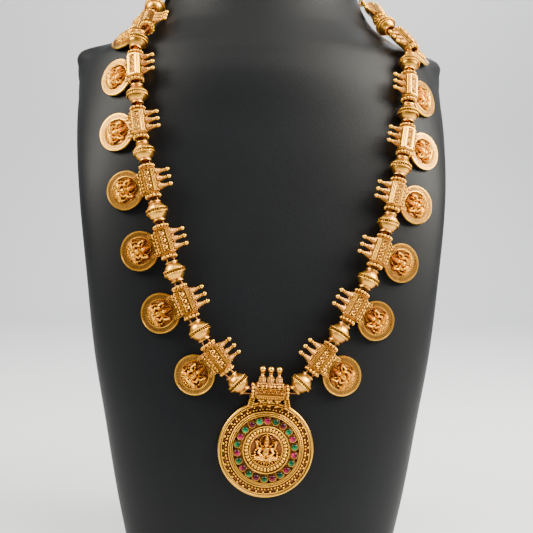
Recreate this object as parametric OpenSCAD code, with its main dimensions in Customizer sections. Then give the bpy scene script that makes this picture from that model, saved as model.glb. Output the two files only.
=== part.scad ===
// Temple jewellery necklace resting on a plain padded neck bust.
// The origin is on the table, under the middle of the bust. The bust faces -Y.
// Two threads carry coin pieces and hollow beads round the neck, from the large
// disc pendant at the front to a plain chain and a spring ring at the back.

/* [Pendant] */
// Diameter of the large disc
pendant_d = 52; // [50:0.5:54]
// Thickness of the disc at its rim
pendant_rim_t = 2.4; // [2:0.1:3]
// Length of the barrel that hangs the disc
bail_len = 20.6; // [19:0.2:21]
// Outer diameter of that barrel
bail_d = 8; // [7.6:0.1:8.4]
// Distance from the barrel's axis down to the middle of the disc
pendant_drop = 31.5; // [30:0.5:33]
// Lean of the pendant, clockwise as seen from the front, in degrees
pendant_roll = 3; // [0:0.5:5]

/* [Stones] */
// Number of round stones in the ring, red and green in turn
stone_count = 22; // [16:2:24]
// Diameter of a stone
stone_d = 3.5; // [3:0.1:3.6]
// Radius of the ring of stones
stone_ring_r = 15.6; // [15.2:0.1:16]

/* [Coin pieces] */
// Coin pieces on each side of the pendant
coins_a_side = 8; // [6:1:8]
// Diameter of a coin
coin_d = 22.4; // [20:0.2:23]
// Distance from the string's axis out to the middle of a coin
coin_reach = 15.3; // [15:0.1:16]
// Slope of a coin down towards the bust, in degrees
coin_tilt = 10; // [8:0.5:11]
// Length of the small barrel on the string
barrel_len = 19.2; // [18.4:0.1:19.4]
// Outer diameter of the small barrel
barrel_d = 8.4; // [8:0.1:9]
// Reach of the ball finials from the string's axis
finial_reach = 12.4; // [11:0.1:13]

/* [Beads] */
// Length of a hollow bead
bead_len = 11.4; // [10.8:0.1:11.5]
// Diameter of a bead's body
bead_d = 10.6; // [10:0.1:11]
// Diameter of the wire flange round a bead's middle
flange_d = 12.4; // [12:0.1:12.8]

/* [Stringing] */
// Thickness of each of the two threads
thread_d = 0.9; // [0.8:0.05:1]
// Distance of each thread from the string's axis
thread_side = 1.9; // [1.7:0.05:1.95]
// Distance between a bead and the next coin piece, centre to centre, on the left
step_left = 17.42; // [17.2:0.05:17.6]
// The same distance on the right
step_right = 17.05; // [17:0.05:17.3]
// Distance along the string from the pendant to the first bead
first_bead = 8.2; // [8:0.1:8.6]

/* [Chain] */
// Mean radius of a chain ring
ring_r = 2.1; // [2:0.05:2.2]
// Thickness of a chain ring's wire
ring_wire = 0.9; // [0.8:0.05:1]
// Mean radius of the spring ring that closes the chain
clasp_r = 4.2; // [4:0.1:5]

/* [Hidden] */
$fn = 48;
GOLD = "goldenrod";
BLACK = [0.14, 0.14, 0.15];
RED = [0.6, 0.03, 0.15];
GREEN = [0.02, 0.45, 0.28];

// Sections of the bust: height, half width, front at the middle, depth of the
// widest point, back, and squareness of the front
BUST = [
    [0, 75.8, -57, -8, 40, 2.8],
    [40, 84, -58.5, -10, 44, 2.8],
    [80, 90.8, -56.5, -11, 48, 2.8],
    [120, 97.4, -51, -13, 52, 2.85],
    [165, 102.4, -43.7, -13, 57, 2.9],
    [210, 108.1, -35.5, -3, 63, 2.65],
    [250, 112.6, -29.5, 22, 71, 2.25],
    [280, 112.6, -26, 40, 78, 2],
    [294, 108.6, -21.5, 42, 81, 1.95],
    [299, 103, -19.5, 41, 82, 1.92],
    [303, 94.5, -17.6, 40, 82.5, 1.9],
    [307, 84.5, -15.7, 38, 83, 1.9],
    [316, 71, -11.3, 37, 83, 1.9],
    [330, 62, -5.8, 39, 83, 1.93],
    [350, 57, 0, 42, 82, 2],
    [381, 56, 4, 42, 79, 2],
    [385, 52, 8, 42, 75, 2]
];
H = 0;
WIDE = 1;
FRONT = 2;
MID = 3;
BACK = 4;
SQUARE = 5;
// Squareness of the back of every section
back_square = 2.5;
// Heights at which the loft has a ring, from the table and between its rows
LOFT = [3, 20, 40, 60, 80, 100, 120, 142, 165, 188, 210, 230, 250, 266, 276, 284, 290, 294,
    297, 299, 300.6, 301.8, 302.8, 304, 307, 311, 316, 322, 330, 340, 350, 366, 381, 383.5, 385];
// Degrees between two points of a ring
loft_turn = 7.5;
// Height and extra half width of the cover over the square corners of the shoulders
CORNER = [[268, 0], [280, 1.2], [290, 4.4], [296, 8.2], [299, 10], [300.6, 9.8], [301.8, 7.8],
    [302.8, 4.2], [304, 0]];
// Turns from the front between which a corner grows, and between which it fades
corner_grows = [70, 90];
corner_fades = [115, 180];
// The board under the bust: thickness, and how far it stands in from the cover
board_t = 3.2;
board_in = 1.5;

// Route of the string on each side: turn round the bust in degrees from its
// front, height on the bust, and height of the string above its surface
ROUTE_LEFT = [[2.7, 102.2, 6.7], [14.1, 135.1, 6.7], [22.5, 172.1, 6.7], [29.7, 209.9, 6.7],
    [35.9, 245.9, 6.7], [39.8, 277.5, 6.7], [44.3, 299.6, 6.7], [56.1, 309.4, 7.2],
    [68.6, 321.5, 7], [100, 337, 5.5], [140, 337, 3.2], [180, 333, 3]];
ROUTE_RIGHT = [[3, 102.2, 6.7], [11.8, 126.5, 6.7], [20.2, 152.7, 6.7], [28.2, 181.5, 6.7],
    [34.8, 214, 6.7], [41, 248.4, 6.7], [46, 284.5, 6.7],
    [54.5, 303, 7.2], [71, 317.5, 7.2], [100, 336, 5.5], [140, 337, 3.2], [180, 333, 3]];
TURN = 0;
RISE = 1;
CLEAR = 2;
// Roll of each coin piece about the string, until its coin lies on the bust
ROLL_LEFT = [0.1, 1.7, 2.2, 2.1, 1.9, 2.8, 0.5, -19.4];
ROLL_RIGHT = [0.1, 1.8, 2.5, 3.1, 2.8, 3.5, 5.3, -15.3];
// Points worked out between two rows of a route
route_steps = 10;
LEFT = -1;
RIGHT = 1;

// Slope of the table at row i of a column, for a smooth curve through its rows
function slope(i, c) =
    let (a = max(0, i - 1), b = min(len(BUST) - 1, i + 1))
    (BUST[b][c] - BUST[a][c]) / (BUST[b][H] - BUST[a][H]);
// Value of column c of the bust's table at height z
function at_height(z, c) =
    z <= BUST[0][H] ? BUST[0][c] :
    z >= BUST[len(BUST) - 1][H] ? BUST[len(BUST) - 1][c] :
    let (i = max([for (k = [0:len(BUST) - 2]) if (BUST[k][H] <= z) k]),
        h = BUST[i + 1][H] - BUST[i][H],
        u = (z - BUST[i][H]) / h)
    (2 * pow(u, 3) - 3 * u * u + 1) * BUST[i][c] + (pow(u, 3) - 2 * u * u + u) * h * slope(i, c)
    + (3 * u * u - 2 * pow(u, 3)) * BUST[i + 1][c] + (pow(u, 3) - u * u) * h * slope(i + 1, c);

function rounded(v, power) = sign(v) * pow(abs(v), 2 / power);
// Point of the bust's surface at a turn from the front and a height
function skin(turn, z) =
    let (is_front = cos(turn) >= 0,
        power = is_front ? at_height(z, SQUARE) : back_square,
        mid = at_height(z, MID),
        deep = is_front ? mid - at_height(z, FRONT) : at_height(z, BACK) - mid)
    [at_height(z, WIDE) * rounded(sin(turn), power), mid - deep * rounded(cos(turn), power), z];
function unit(v) = v / norm(v);
// Direction straight out of that surface
function outward(turn, z) =
    unit(cross(skin(turn + 0.5, z) - skin(turn - 0.5, z), skin(turn, z + 1) - skin(turn, z - 1)));

function ease(u) = let (v = max(0, min(1, u))) v * v * (3 - 2 * v);
function past(turn, range) = ease((abs(turn) - range[0]) / (range[1] - range[0]));
// Point of the bust's cover: the surface with its square shoulder corners
function cover(turn, z) =
    skin(turn, z) + [sign(sin(turn)) * lookup(z, CORNER) * past(turn, corner_grows)
    * (1 - past(turn, corner_fades)), 0, 0];

// Smooth curve through the rows of a route
function between(p, q, r, s, u) =
    0.5 * (2 * q + (r - p) * u + (2 * p - 5 * q + 4 * r - s) * u * u
    + (3 * q - p - 3 * r + s) * pow(u, 3));
function route_row(route, i) = route[max(0, min(len(route) - 1, i))];
function route_at(route, u) =
    let (i = min(floor(u), len(route) - 2))
    between(route_row(route, i - 1), route_row(route, i), route_row(route, i + 1),
        route_row(route, i + 2), u - i);
function on_string(side, r) = skin(side * r[TURN], r[RISE]) + r[CLEAR] * outward(side * r[TURN], r[RISE]);
function route_points(side, route) =
    [for (k = [0:(len(route) - 1) * route_steps]) on_string(side, route_at(route, k / route_steps))];
function running(points, i = 0, sum = 0) =
    i >= len(points) - 1 ? [sum] :
    concat([sum], running(points, i + 1, sum + norm(points[i + 1] - points[i])));

STRING = [route_points(LEFT, ROUTE_LEFT), route_points(RIGHT, ROUTE_RIGHT)];
ALONG = [running(STRING[0]), running(STRING[1])];
function which(side) = side == LEFT ? 0 : 1;
function string_len(side) = let (a = ALONG[which(side)]) a[len(a) - 1];
function string_step(side) = side == LEFT ? step_left : step_right;
// Place on the string at a distance along it from the pendant, as row number
function row_at(side, s) =
    lookup(s, [for (k = [0:len(ALONG[0]) - 1]) [ALONG[which(side)][k], k / route_steps]]);
function route_of(side) = side == LEFT ? ROUTE_LEFT : ROUTE_RIGHT;
function place(side, s) = on_string(side, route_at(route_of(side), row_at(side, s)));
// Frame of a piece on the string: along it, out to the coin's side, off the bust
function frame(side, s) =
    let (r = route_at(route_of(side), row_at(side, s)),
        up = outward(side * r[TURN], r[RISE]),
        run = -side * unit(place(side, s + 2) - place(side, s - 2)),
        x = unit(run - (run * up) * up),
        y = cross(up, x),
        p = place(side, s))
    [[x[0], y[0], up[0], p[0]], [x[1], y[1], up[1], p[1]], [x[2], y[2], up[2], p[2]], [0, 0, 0, 1]];
module on(side, s) multmatrix(frame(side, s)) children();

pieces_a_side = 2 * coins_a_side;
function piece_s(side, k) = first_bead + k * string_step(side);
function piece_half(k) = (k % 2 == 0 ? bead_len : barrel_len) / 2;
bead_bore = thread_side + thread_d / 2 + 0.36;
barrel_bore = bead_bore + 0.3;

// Chain rings are spaced so that each hangs in the next with a small gap
ring_gap = 0.3;
ring_pitch = 2 * ring_r - ring_wire - ring_gap;
clasp_wire = 1.4;
clasp_pitch = clasp_r + ring_r - (clasp_wire + ring_wire) / 2 - ring_gap;
end_cap_len = 8;
// Gap between the last coin piece and its end cap, and depth of the cap's mouth
cap_gap = 1.7;
socket = 3;
function last_end(side) = piece_s(side, pieces_a_side - 1) + barrel_len / 2;
function rings(side) =
    floor((string_len(side) - clasp_pitch - last_end(side) - end_cap_len - ring_r) / ring_pitch);
function ring_s(side, k) = string_len(side) - clasp_pitch - k * ring_pitch;

// The bust: a loft of rounded sections on a flat board
function ring_points(z) = [for (t = [-180:loft_turn:180 - loft_turn]) cover(t, z)];
module bust() {
    n = 360 / loft_turn;
    rows = len(LOFT);
    points = [for (z = LOFT) each ring_points(z)];
    sides = [for (i = [0:rows - 2], k = [0:n - 1])
        [i * n + k, (i + 1) * n + k, (i + 1) * n + (k + 1) % n, i * n + (k + 1) % n]];
    under = [for (k = [0:n - 1]) k];
    top = [for (k = [n - 1:-1:0]) (rows - 1) * n + k];
    color(BLACK) {
        polyhedron(points, concat(sides, [under, top]));
        linear_extrude(board_t) polygon([for (p = ring_points(LOFT[0])) let (q = [p[0], p[1]])
            q - board_in * unit(q - [0, at_height(0, MID)])]);
    }
}

// A disc turned about its own axis, from a list of [radius, height] points
module turned(outline) rotate_extrude() polygon(outline);
// A wire ring lying flat
module wire_ring(r, wire) rotate_extrude() translate([r, 0]) circle(d = wire, $fn = 24);
// A tube along the string, as a plain cylinder and its bore
module rod(len, d) rotate([0, 90, 0]) cylinder(h = len, d = d, center = true);

// Three balls on tapered stems, standing away from a barrel along -y
module finials(pitch, reach, ball_d, foot_d, start) {
    ball_r = ball_d / 2;
    for (x = [-pitch, 0, pitch]) translate([x, -start, 0]) rotate([90, 0, 0]) {
        cylinder(h = (reach - start) * 0.55, d1 = foot_d, d2 = ball_d * 0.5);
        cylinder(h = reach - start - ball_r, d = ball_d * 0.42);
        translate([0, 0, (reach - start) * 0.55]) cylinder(h = ball_d * 0.25, d = ball_d * 0.8);
        translate([0, 0, reach - start - ball_r]) sphere(d = ball_d);
    }
}

// A round bar with full ends, from one point to another
module bar(from, to, d) {
    run = to - from;
    translate(from) {
        rotate([0, acos(run[2] / norm(run)), atan2(run[1], run[0])]) cylinder(h = norm(run), d = d);
        sphere(d = d * 1.03);
    }
    translate(to) sphere(d = d * 1.03);
}

// Seated figure in relief with a tall crown, on a lotus seat, head towards +y
module seated_figure(tall) {
    u = tall / 10;
    // lotus seat
    bar([-2.4 * u, -4.1 * u, 0], [2.4 * u, -4.1 * u, 0], 1.7 * u);
    for (m = [-1, 1]) {
        // crossed legs, then arms
        bar([m * 2.3 * u, -2.8 * u, 0.1 * u], [-m * 0.4 * u, -3.2 * u, 0.3 * u], 1.25 * u);
        bar([m * 1.3 * u, 0.2 * u, 0.3 * u], [m * 2 * u, -1.5 * u, 0.2 * u], 0.8 * u);
    }
    // body, head and crown
    bar([0, -2.2 * u, 0.2 * u], [0, 0, 0.3 * u], 2.1 * u);
    translate([0, 1.6 * u, 0.5 * u]) sphere(r = 0.9 * u);
    translate([0, 2.1 * u, 0.4 * u]) rotate([-90, 0, 0]) cylinder(h = 2.7 * u, r1 = 0.8 * u, r2 = 0.25 * u);
}

// One coin piece: barrel, strap panel, finials and coin, soldered into one
module coin_piece() {
    cap_t = 2.9;
    cap_d = barrel_d + 0.6;
    strap = [12.7, 5.1, 0.6];
    post_pitch = 4.25;
    coin_z = -4.6;
    coin_t = 1.5;
    coin_r = coin_d / 2;
    difference() {
        union() {
            rod(barrel_len - 2 * cap_t + 1, barrel_d - 0.4);
            // beaded end caps
            for (m = [-1, 1]) translate([m * (barrel_len - cap_t) / 2, 0, 0]) {
                rod(cap_t, cap_d - 1);
                rotate([0, 90, 0]) wire_ring(cap_d / 2 - cap_t / 2 + 0.1, cap_t - 0.1);
            }
            // strap panel on the front with a border wire on each long side
            translate([-strap[0] / 2, -strap[1] / 2, 0])
                cube([strap[0], strap[1], barrel_d / 2 + strap[2]]);
            for (m = [-1, 1]) translate([0, m * (strap[1] / 2 - 0.4), barrel_d / 2 + strap[2]])
                rod(strap[0], 0.8);
            // flange that carries the finials
            translate([-6, -5.6, -0.1]) cube([12, 3, 1.6]);
            translate([0, 0, 0.7]) finials(post_pitch, finial_reach, 2.4, 3.4, 4.6);
            // T posts and the two bars down to the coin
            for (x = [-post_pitch, 0, post_pitch]) translate([x, 4.2, 1]) {
                translate([-0.6, -1.2, -1.6]) cube([1.2, 2.8, 1.8]);
                for (m = [-1, 1]) translate([m * 0.75, 1.5, 0]) sphere(d = 1.3);
            }
            for (m = [-1, 1]) translate([m * 5.4, 3, -3.4]) rotate([-coin_tilt - 6, 0, 0])
                translate([-1.2, 0, 0]) cube([2.4, 6.2, 2.6]);
            // the coin
            translate([0, coin_reach, coin_z]) rotate([-coin_tilt, 0, 0]) {
                turned([[0, -coin_t / 2], [coin_r - 0.4, -coin_t / 2], [coin_r, -coin_t / 2 + 0.4],
                    [coin_r, 0.5], [coin_r - 0.7, 1], [coin_r - 1.4, 0.5], [coin_r - 3.4, 0.7],
                    [coin_r - 3.8, 0.35], [0, 0.35]]);
                translate([0, 0, 0.75]) wire_ring(coin_r - 3.4, 0.7);
                translate([0, 0, 0.3]) rotate([0, 0, 180]) seated_figure(15);
            }
        }
        rod(barrel_len + 2, 2 * barrel_bore);
    }
}

// A hollow bead: two collars, a full body and a double wire flange
module bead() {
    h = bead_len / 2;
    body = bead_d / 2;
    flange = flange_d / 2;
    collar = 3.5;
    neck = 3.1;
    half = [[h, collar - 0.3], [h - 0.4, collar], [h - 0.9, collar - 0.1], [h - 1.3, neck],
        [h - 1.8, neck + 0.2], [h - 2.6, body - 0.8], [h - 3.6, body - 0.15], [1.35, body],
        [1.3, flange - 0.15], [0.8, flange], [0.35, flange - 0.15], [0, flange - 0.5]];
    n = len(half);
    outline = concat([for (p = half) [p[1], p[0]]], [for (k = [n - 2:-1:0]) [half[k][1], -half[k][0]]]);
    rotate([0, 90, 0]) rotate_extrude()
        polygon(concat([[bead_bore, h]], outline, [[bead_bore, -h]]));
}

// Height of the disc's face above its back at the ring of stones
gem_bed = 3.8;
collet_d = stone_d + 0.9;
seat_d = stone_d + 0.3;
stone_lift = 0.15;
module stone_places(first) for (k = [first:2:stone_count - 1])
    rotate([0, 0, k * 360 / stone_count]) translate([0, stone_ring_r, 0]) children();
// Where the pendant hangs: x along its barrel, y up, z towards the viewer
pendant_z = 103.5;
pendant_x = 0.5;
pendant_lean = 5;
pendant_clear = 7.2;
disc_back = -6.1;
module hung() {
    p = skin(0, pendant_z) + pendant_clear * outward(0, pendant_z);
    translate([pendant_x, p[1], p[2]]) rotate([90 - pendant_lean, 0, 0])
        rotate([0, 0, -pendant_roll]) children();
}
module on_disc() hung() translate([0, -pendant_drop, disc_back]) children();

module main_pendant() {
    r = pendant_d / 2;
    cap_t = 2.6;
    post_pitch = 4.5;
    bore = 2 * (bead_bore + 0.5);
    color(GOLD) {
        difference() {
            union() {
                hung() {
                    // barrel with beaded end caps and a raised front strap
                    rod(bail_len - 2 * cap_t + 1, bail_d);
                    for (m = [-1, 1]) translate([m * (bail_len - cap_t) / 2, 0, 0]) {
                        rod(cap_t, bail_d);
                        for (q = [-1, 1]) translate([q * 0.65, 0, 0]) rotate([0, 90, 0])
                            wire_ring(bail_d / 2 - 0.2, 1.3);
                    }
                    translate([-7.2, -2.6, 0]) cube([14.4, 5.2, bail_d / 2 + 0.5]);
                    // finials on bell feet, standing up from the barrel
                    translate([-7, 2.4, -0.9]) cube([14, 2.4, 1.8]);
                    rotate([180, 0, 0]) finials(post_pitch, 13.4, 3.5, 4.2, 4);
                    // T posts and cheeks down to the disc
                    for (x = [-post_pitch, 0, post_pitch]) translate([x, -4.6, 0]) {
                        translate([-0.8, -3.4, -4.8]) cube([1.6, 5, 5.2]);
                        for (m = [-1, 1]) translate([m * 0.9, -0.6, 0.4]) sphere(d = 1.6);
                    }
                    for (m = [-1, 1]) translate([m * 8.8, -2, -4]) rotate([0, 0, m * 12])
                        translate([-1.4, -7, 0]) cube([2.8, 8, 4.4]);
                }
                // stepped disc: rim, granule band, wires, bed of stones, inner ring, field
                on_disc() {
                    turned([[0, 0], [r - 0.5, 0], [r, 0.5], [r, pendant_rim_t - 0.5],
                        [r - 0.6, pendant_rim_t], [r - 1.3, pendant_rim_t - 0.2],
                        [r - 1.5, pendant_rim_t - 0.7], [r - 5.2, pendant_rim_t - 0.5],
                        [r - 5.3, pendant_rim_t + 0.5], [r - 7.4, pendant_rim_t + 0.7],
                        [r - 7.6, gem_bed - 0.3], [13, gem_bed], [12.8, gem_bed + 0.9],
                        [8.7, gem_bed + 0.9], [8.5, gem_bed + 0.4], [0, gem_bed + 0.4]]);
                    for (ring = [[r - 1.9, 1.1, 1.7], [r - 5.7, 0.9, 2.9], [r - 6.9, 0.9, 3.2],
                        [12.5, 0.9, gem_bed + 1], [10.6, 1.2, gem_bed + 1],
                        [8.8, 0.8, gem_bed + 0.9]])
                        translate([0, 0, ring[2]]) wire_ring(ring[0], ring[1]);
                    for (first = [0, 1]) stone_places(first)
                        cylinder(h = gem_bed + 0.9, d = collet_d);
                    translate([0, 0, gem_bed + 0.3]) seated_figure(19);
                }
            }
            // string bore and the seats of the stones
            hung() rod(bail_len + 2, bore);
            on_disc() for (first = [0, 1]) stone_places(first)
                translate([0, 0, gem_bed]) cylinder(h = 3, d = seat_d);
        }
    }
}

// Round domed stones that sit in their seats
module stone_set(first, tint) color(tint) on_disc() stone_places(first)
    translate([0, 0, gem_bed + stone_lift]) intersection() {
        cylinder(h = stone_d, d = stone_d);
        translate([0, 0, 0.1]) sphere(d = stone_d * 1.12);
    }
module rubies() stone_set(0, RED);
module emeralds() stone_set(1, GREEN);

// A thread: a many-sided tube that runs straight through each piece
function thread_frames() = concat(
    [for (k = [pieces_a_side - 1:-1:0], m = [1, -1]) thread_place(LEFT, k, m)],
    [for (k = [0:pieces_a_side - 1], m = [-1, 1]) thread_place(RIGHT, k, m)]);
// How far a thread runs on from the last coin piece into the end cap
end_in = 3.2;
function thread_place(side, k, m) =
    let (f = frame(side, piece_s(side, k)),
        reach = piece_half(k) + (k == pieces_a_side - 1 && m > 0 ? end_in : 0),
        p = [f[0][3], f[1][3], f[2][3]],
        x = [f[0][0], f[1][0], f[2][0]],
        y = [f[0][1], f[1][1], f[2][1]],
        z = [f[0][2], f[1][2], f[2][2]])
    [p - side * m * reach * x, x, y, z];
module thread(offset) {
    n = 8;
    rows = thread_frames();
    points = [for (r = rows, k = [0:n - 1])
        r[0] + offset * r[2] + thread_d / 2 * (cos(k * 360 / n) * r[2] + sin(k * 360 / n) * r[3])];
    sides = [for (i = [0:len(rows) - 2], k = [0:n - 1])
        [i * n + k, (i + 1) * n + k, (i + 1) * n + (k + 1) % n, i * n + (k + 1) % n]];
    under = [for (k = [0:n - 1]) k];
    top = [for (k = [n - 1:-1:0]) (len(rows) - 1) * n + k];
    color(GOLD) polyhedron(points, concat(sides, [under, top]));
}
module thread_inner() thread(-thread_side);
module thread_outer() thread(thread_side);

// Turn of a chain ring about the string, a quarter more for every other ring
module ring_on(side, k) on(side, ring_s(side, k)) rotate([k % 2 == 0 ? 90 : 0, 0, 0])
    wire_ring(ring_r, ring_wire);

// Cone that gathers the two threads, with a fixed ring for the chain
module end_cap(side) {
    start = last_end(side) + cap_gap;
    cone = ring_s(side, rings(side)) - ring_r - start + ring_wire / 2;
    mouth = barrel_d / 2 - 0.1;
    bore = bead_bore + 0.7;
    color(GOLD) {
        on(side, start + cone / 2) rotate([0, -side * 90, 0]) translate([0, 0, -cone / 2])
            turned([[bore, 0], [mouth, 0], [mouth, 1.2], [mouth - 0.4, 1.4], [mouth - 0.2, 2.6],
                [1.9, cone - 2.4], [1.9, cone - 1.2], [1.2, cone], [0, cone], [0, socket],
                [bore, socket]]);
        ring_on(side, rings(side));
    }
}

// One side of the chain, and the ring that closes it at the back
module chain(side) color(GOLD) for (k = [0:rings(side) - 1]) ring_on(side, k);
module spring_ring() color(GOLD) on(RIGHT, string_len(RIGHT)) {
    wire_ring(clasp_r, clasp_wire);
    translate([0, clasp_r, 0]) rod(2.4, clasp_wire + 0.8);
}

module bead_on(side, k) color(GOLD) on(side, piece_s(side, 2 * k - 2)) bead();
module coin_on(side, k) color(GOLD) on(side, piece_s(side, 2 * k - 1))
    rotate([-(side == LEFT ? ROLL_LEFT : ROLL_RIGHT)[k - 1], 0, 0]) coin_piece();

bust();
main_pendant();
rubies();
emeralds();
for (k = [1:coins_a_side]) {
    bead_on(LEFT, k);
    bead_on(RIGHT, k);
    coin_on(LEFT, k);
    coin_on(RIGHT, k);
}
thread_inner();
thread_outer();
end_cap(LEFT);  // end_cap_left
end_cap(RIGHT);  // end_cap_right
chain(LEFT);  // chain_left
chain(RIGHT);  // chain_right
spring_ring();
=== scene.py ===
# Looks of the temple jewellery necklace on its neck bust. Sizes are in millimetres
# until a piece becomes a mesh, which is in metres.
import math

import bpy
import numpy as np
from mathutils import Matrix, Vector
from mathutils.bvhtree import BVHTree


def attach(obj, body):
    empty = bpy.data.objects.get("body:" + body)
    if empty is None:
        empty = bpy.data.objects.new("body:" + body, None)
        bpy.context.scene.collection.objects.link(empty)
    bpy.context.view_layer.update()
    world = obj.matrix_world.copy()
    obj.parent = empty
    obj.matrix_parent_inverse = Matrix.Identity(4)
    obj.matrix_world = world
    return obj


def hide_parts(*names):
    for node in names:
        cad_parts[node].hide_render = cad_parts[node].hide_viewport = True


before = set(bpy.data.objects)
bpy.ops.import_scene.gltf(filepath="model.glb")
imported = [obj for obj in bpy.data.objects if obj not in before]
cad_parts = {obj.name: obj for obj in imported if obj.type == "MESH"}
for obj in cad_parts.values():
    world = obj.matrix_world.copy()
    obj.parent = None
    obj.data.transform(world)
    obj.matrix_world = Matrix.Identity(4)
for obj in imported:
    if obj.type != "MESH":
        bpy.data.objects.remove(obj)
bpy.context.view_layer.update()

MM = 0.001

# Sections of the bust: height, half width, front at the middle, depth of the
# widest point, back, and squareness of the front
BUST = [
    [0, 75.8, -57, -8, 40, 2.8],
    [40, 84, -58.5, -10, 44, 2.8],
    [80, 90.8, -56.5, -11, 48, 2.8],
    [120, 97.4, -51, -13, 52, 2.85],
    [165, 102.4, -43.7, -13, 57, 2.9],
    [210, 108.1, -35.5, -3, 63, 2.65],
    [250, 112.6, -29.5, 22, 71, 2.25],
    [280, 112.6, -26, 40, 78, 2],
    [294, 108.6, -21.5, 42, 81, 1.95],
    [299, 103, -19.5, 41, 82, 1.92],
    [303, 94.5, -17.6, 40, 82.5, 1.9],
    [307, 84.5, -15.7, 38, 83, 1.9],
    [316, 71, -11.3, 37, 83, 1.9],
    [330, 62, -5.8, 39, 83, 1.93],
    [350, 57, 0, 42, 82, 2],
    [381, 56, 4, 42, 79, 2],
    [385, 52, 8, 42, 75, 2]
]
BACK_SQUARE = 2.5
BUST_TOP = 385.0
# Height and extra half width of the cover over the square corners of the shoulders
CORNER = [
    [268, 0], [280, 1.2], [290, 4.4], [296, 8.2], [299, 10],
    [300.6, 9.8], [301.8, 7.8], [302.8, 4.2], [304, 0],
]
# Turns from the front, in degrees, over which those corners grow and fade
CORNER_GROWS, CORNER_FADES = (70, 90), (115, 180)
# Route of the string on each side: turn round the bust, height, height above it
ROUTE = {
    "left": [
        [2.7, 102.2, 6.7], [14.1, 135.1, 6.7], [22.5, 172.1, 6.7], [29.7, 209.9, 6.7],
        [35.9, 245.9, 6.7], [39.8, 277.5, 6.7], [44.3, 299.6, 6.7], [56.1, 309.4, 7.2],
        [68.6, 321.5, 7], [100, 337, 5.5], [140, 337, 3.2], [180, 333, 3],
    ],
    "right": [
        [3, 102.2, 6.7], [11.8, 126.5, 6.7], [20.2, 152.7, 6.7], [28.2, 181.5, 6.7],
        [34.8, 214, 6.7], [41, 248.4, 6.7], [46, 284.5, 6.7], [54.5, 303, 7.2],
        [71, 317.5, 7.2], [100, 336, 5.5], [140, 337, 3.2], [180, 333, 3],
    ],
}
# Roll of each coin piece about the string, in degrees, from the pendant up
ROLL = {
    "left": [0.1, 1.7, 2.2, 2.1, 1.9, 2.8, 0.5, -19.4],
    "right": [0.1, 1.8, 2.5, 3.1, 2.8, 3.5, 5.3, -15.3],
}
SIDE = {"left": -1, "right": 1}
# Beads and coin pieces along the string: the first bead's place and the step from
# each piece to the next
FIRST_BEAD = 8.2
STEP = {"left": 17.42, "right": 17.05}
COINS = 8
BARREL_LEN, BEAD_LEN, BAIL_LEN = 19.2, 11.4, 20.6
BEAD_BORE, BARREL_BORE, BAIL_BORE, MOUTH_BORE = 2.71, 3.01, 3.21, 3.41
# Turn of each bead beyond the one before it, so that no two lie alike
BEAD_TURN = 37.0
# The coin's place beside and below its barrel, its tilt and its radius
COIN_REACH, COIN_Z, COIN_TILT, COIN_R = 15.3, -4.6, 10.0, 11.2
THREAD_SIDE, THREAD_D = 1.9, 0.9
RING_R, RING_WIRE, RING_GAP = 2.1, 0.9, 0.3
CLASP_R, CLASP_WIRE = 4.2, 1.4
CAP_LEN, CAP_GAP, END_IN = 8.0, 1.7, 3.2
PENDANT_X, PENDANT_Z, PENDANT_CLEAR = 0.5, 103.5, 7.2
PENDANT_LEAN, PENDANT_ROLL, PENDANT_DROP = 5, 3.0, 31.5
DISC_R, DISC_BACK, GEM_BED = 26.0, -6.1, 3.8
STONES, STONE_D, STONE_RING = 22, 3.5, 15.6


# The bust's surface
def at_height(z, column):
    """Value of a column of the bust's table at a height, on a smooth curve."""
    rows = BUST
    if z <= rows[0][0]:
        return rows[0][column]
    if z >= rows[-1][0]:
        return rows[-1][column]
    i = max(k for k in range(len(rows) - 1) if rows[k][0] <= z)

    def slope(k):
        a, b = max(0, k - 1), min(len(rows) - 1, k + 1)
        return (rows[b][column] - rows[a][column]) / (rows[b][0] - rows[a][0])

    h = rows[i + 1][0] - rows[i][0]
    u = (z - rows[i][0]) / h
    return (
        (2 * u**3 - 3 * u * u + 1) * rows[i][column]
        + (u**3 - 2 * u * u + u) * h * slope(i)
        + (3 * u * u - 2 * u**3) * rows[i + 1][column]
        + (u**3 - u * u) * h * slope(i + 1)
    )


def rounded(v, power):
    """A sine or cosine bent towards a square section."""
    return math.copysign(abs(v) ** (2 / power), v)


def skin(turn, z):
    """Point of the bust's surface at a turn from its front, in degrees, and a height."""
    s, c = math.sin(math.radians(turn)), math.cos(math.radians(turn))
    power = at_height(z, 5) if c >= 0 else BACK_SQUARE
    mid = at_height(z, 3)
    deep = mid - at_height(z, 2) if c >= 0 else at_height(z, 4) - mid
    return np.array([at_height(z, 1) * rounded(s, power), mid - deep * rounded(c, power), z])


def unit(v):
    return v / np.linalg.norm(v)


def outward(turn, z):
    """Way straight out of the bust's surface."""
    across = skin(turn + 0.5, z) - skin(turn - 0.5, z)
    up = skin(turn, z + 1) - skin(turn, z - 1)
    return unit(np.cross(across, up))


def ease(low, high, v):
    """Rises smoothly from 0 at low to 1 at high."""
    u = np.clip((v - low) / (high - low), 0, 1)
    return u * u * (3 - 2 * u)


def cover(turn, z):
    """Point of the bust's cover: the surface with its square shoulder corners."""
    rise, wide = zip(*CORNER)
    share = ease(*CORNER_GROWS, abs(turn)) * (1 - ease(*CORNER_FADES, abs(turn)))
    out = np.interp(z, rise, wide) * share
    return skin(turn, z) + np.array([math.copysign(out, turn), 0, 0])


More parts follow.
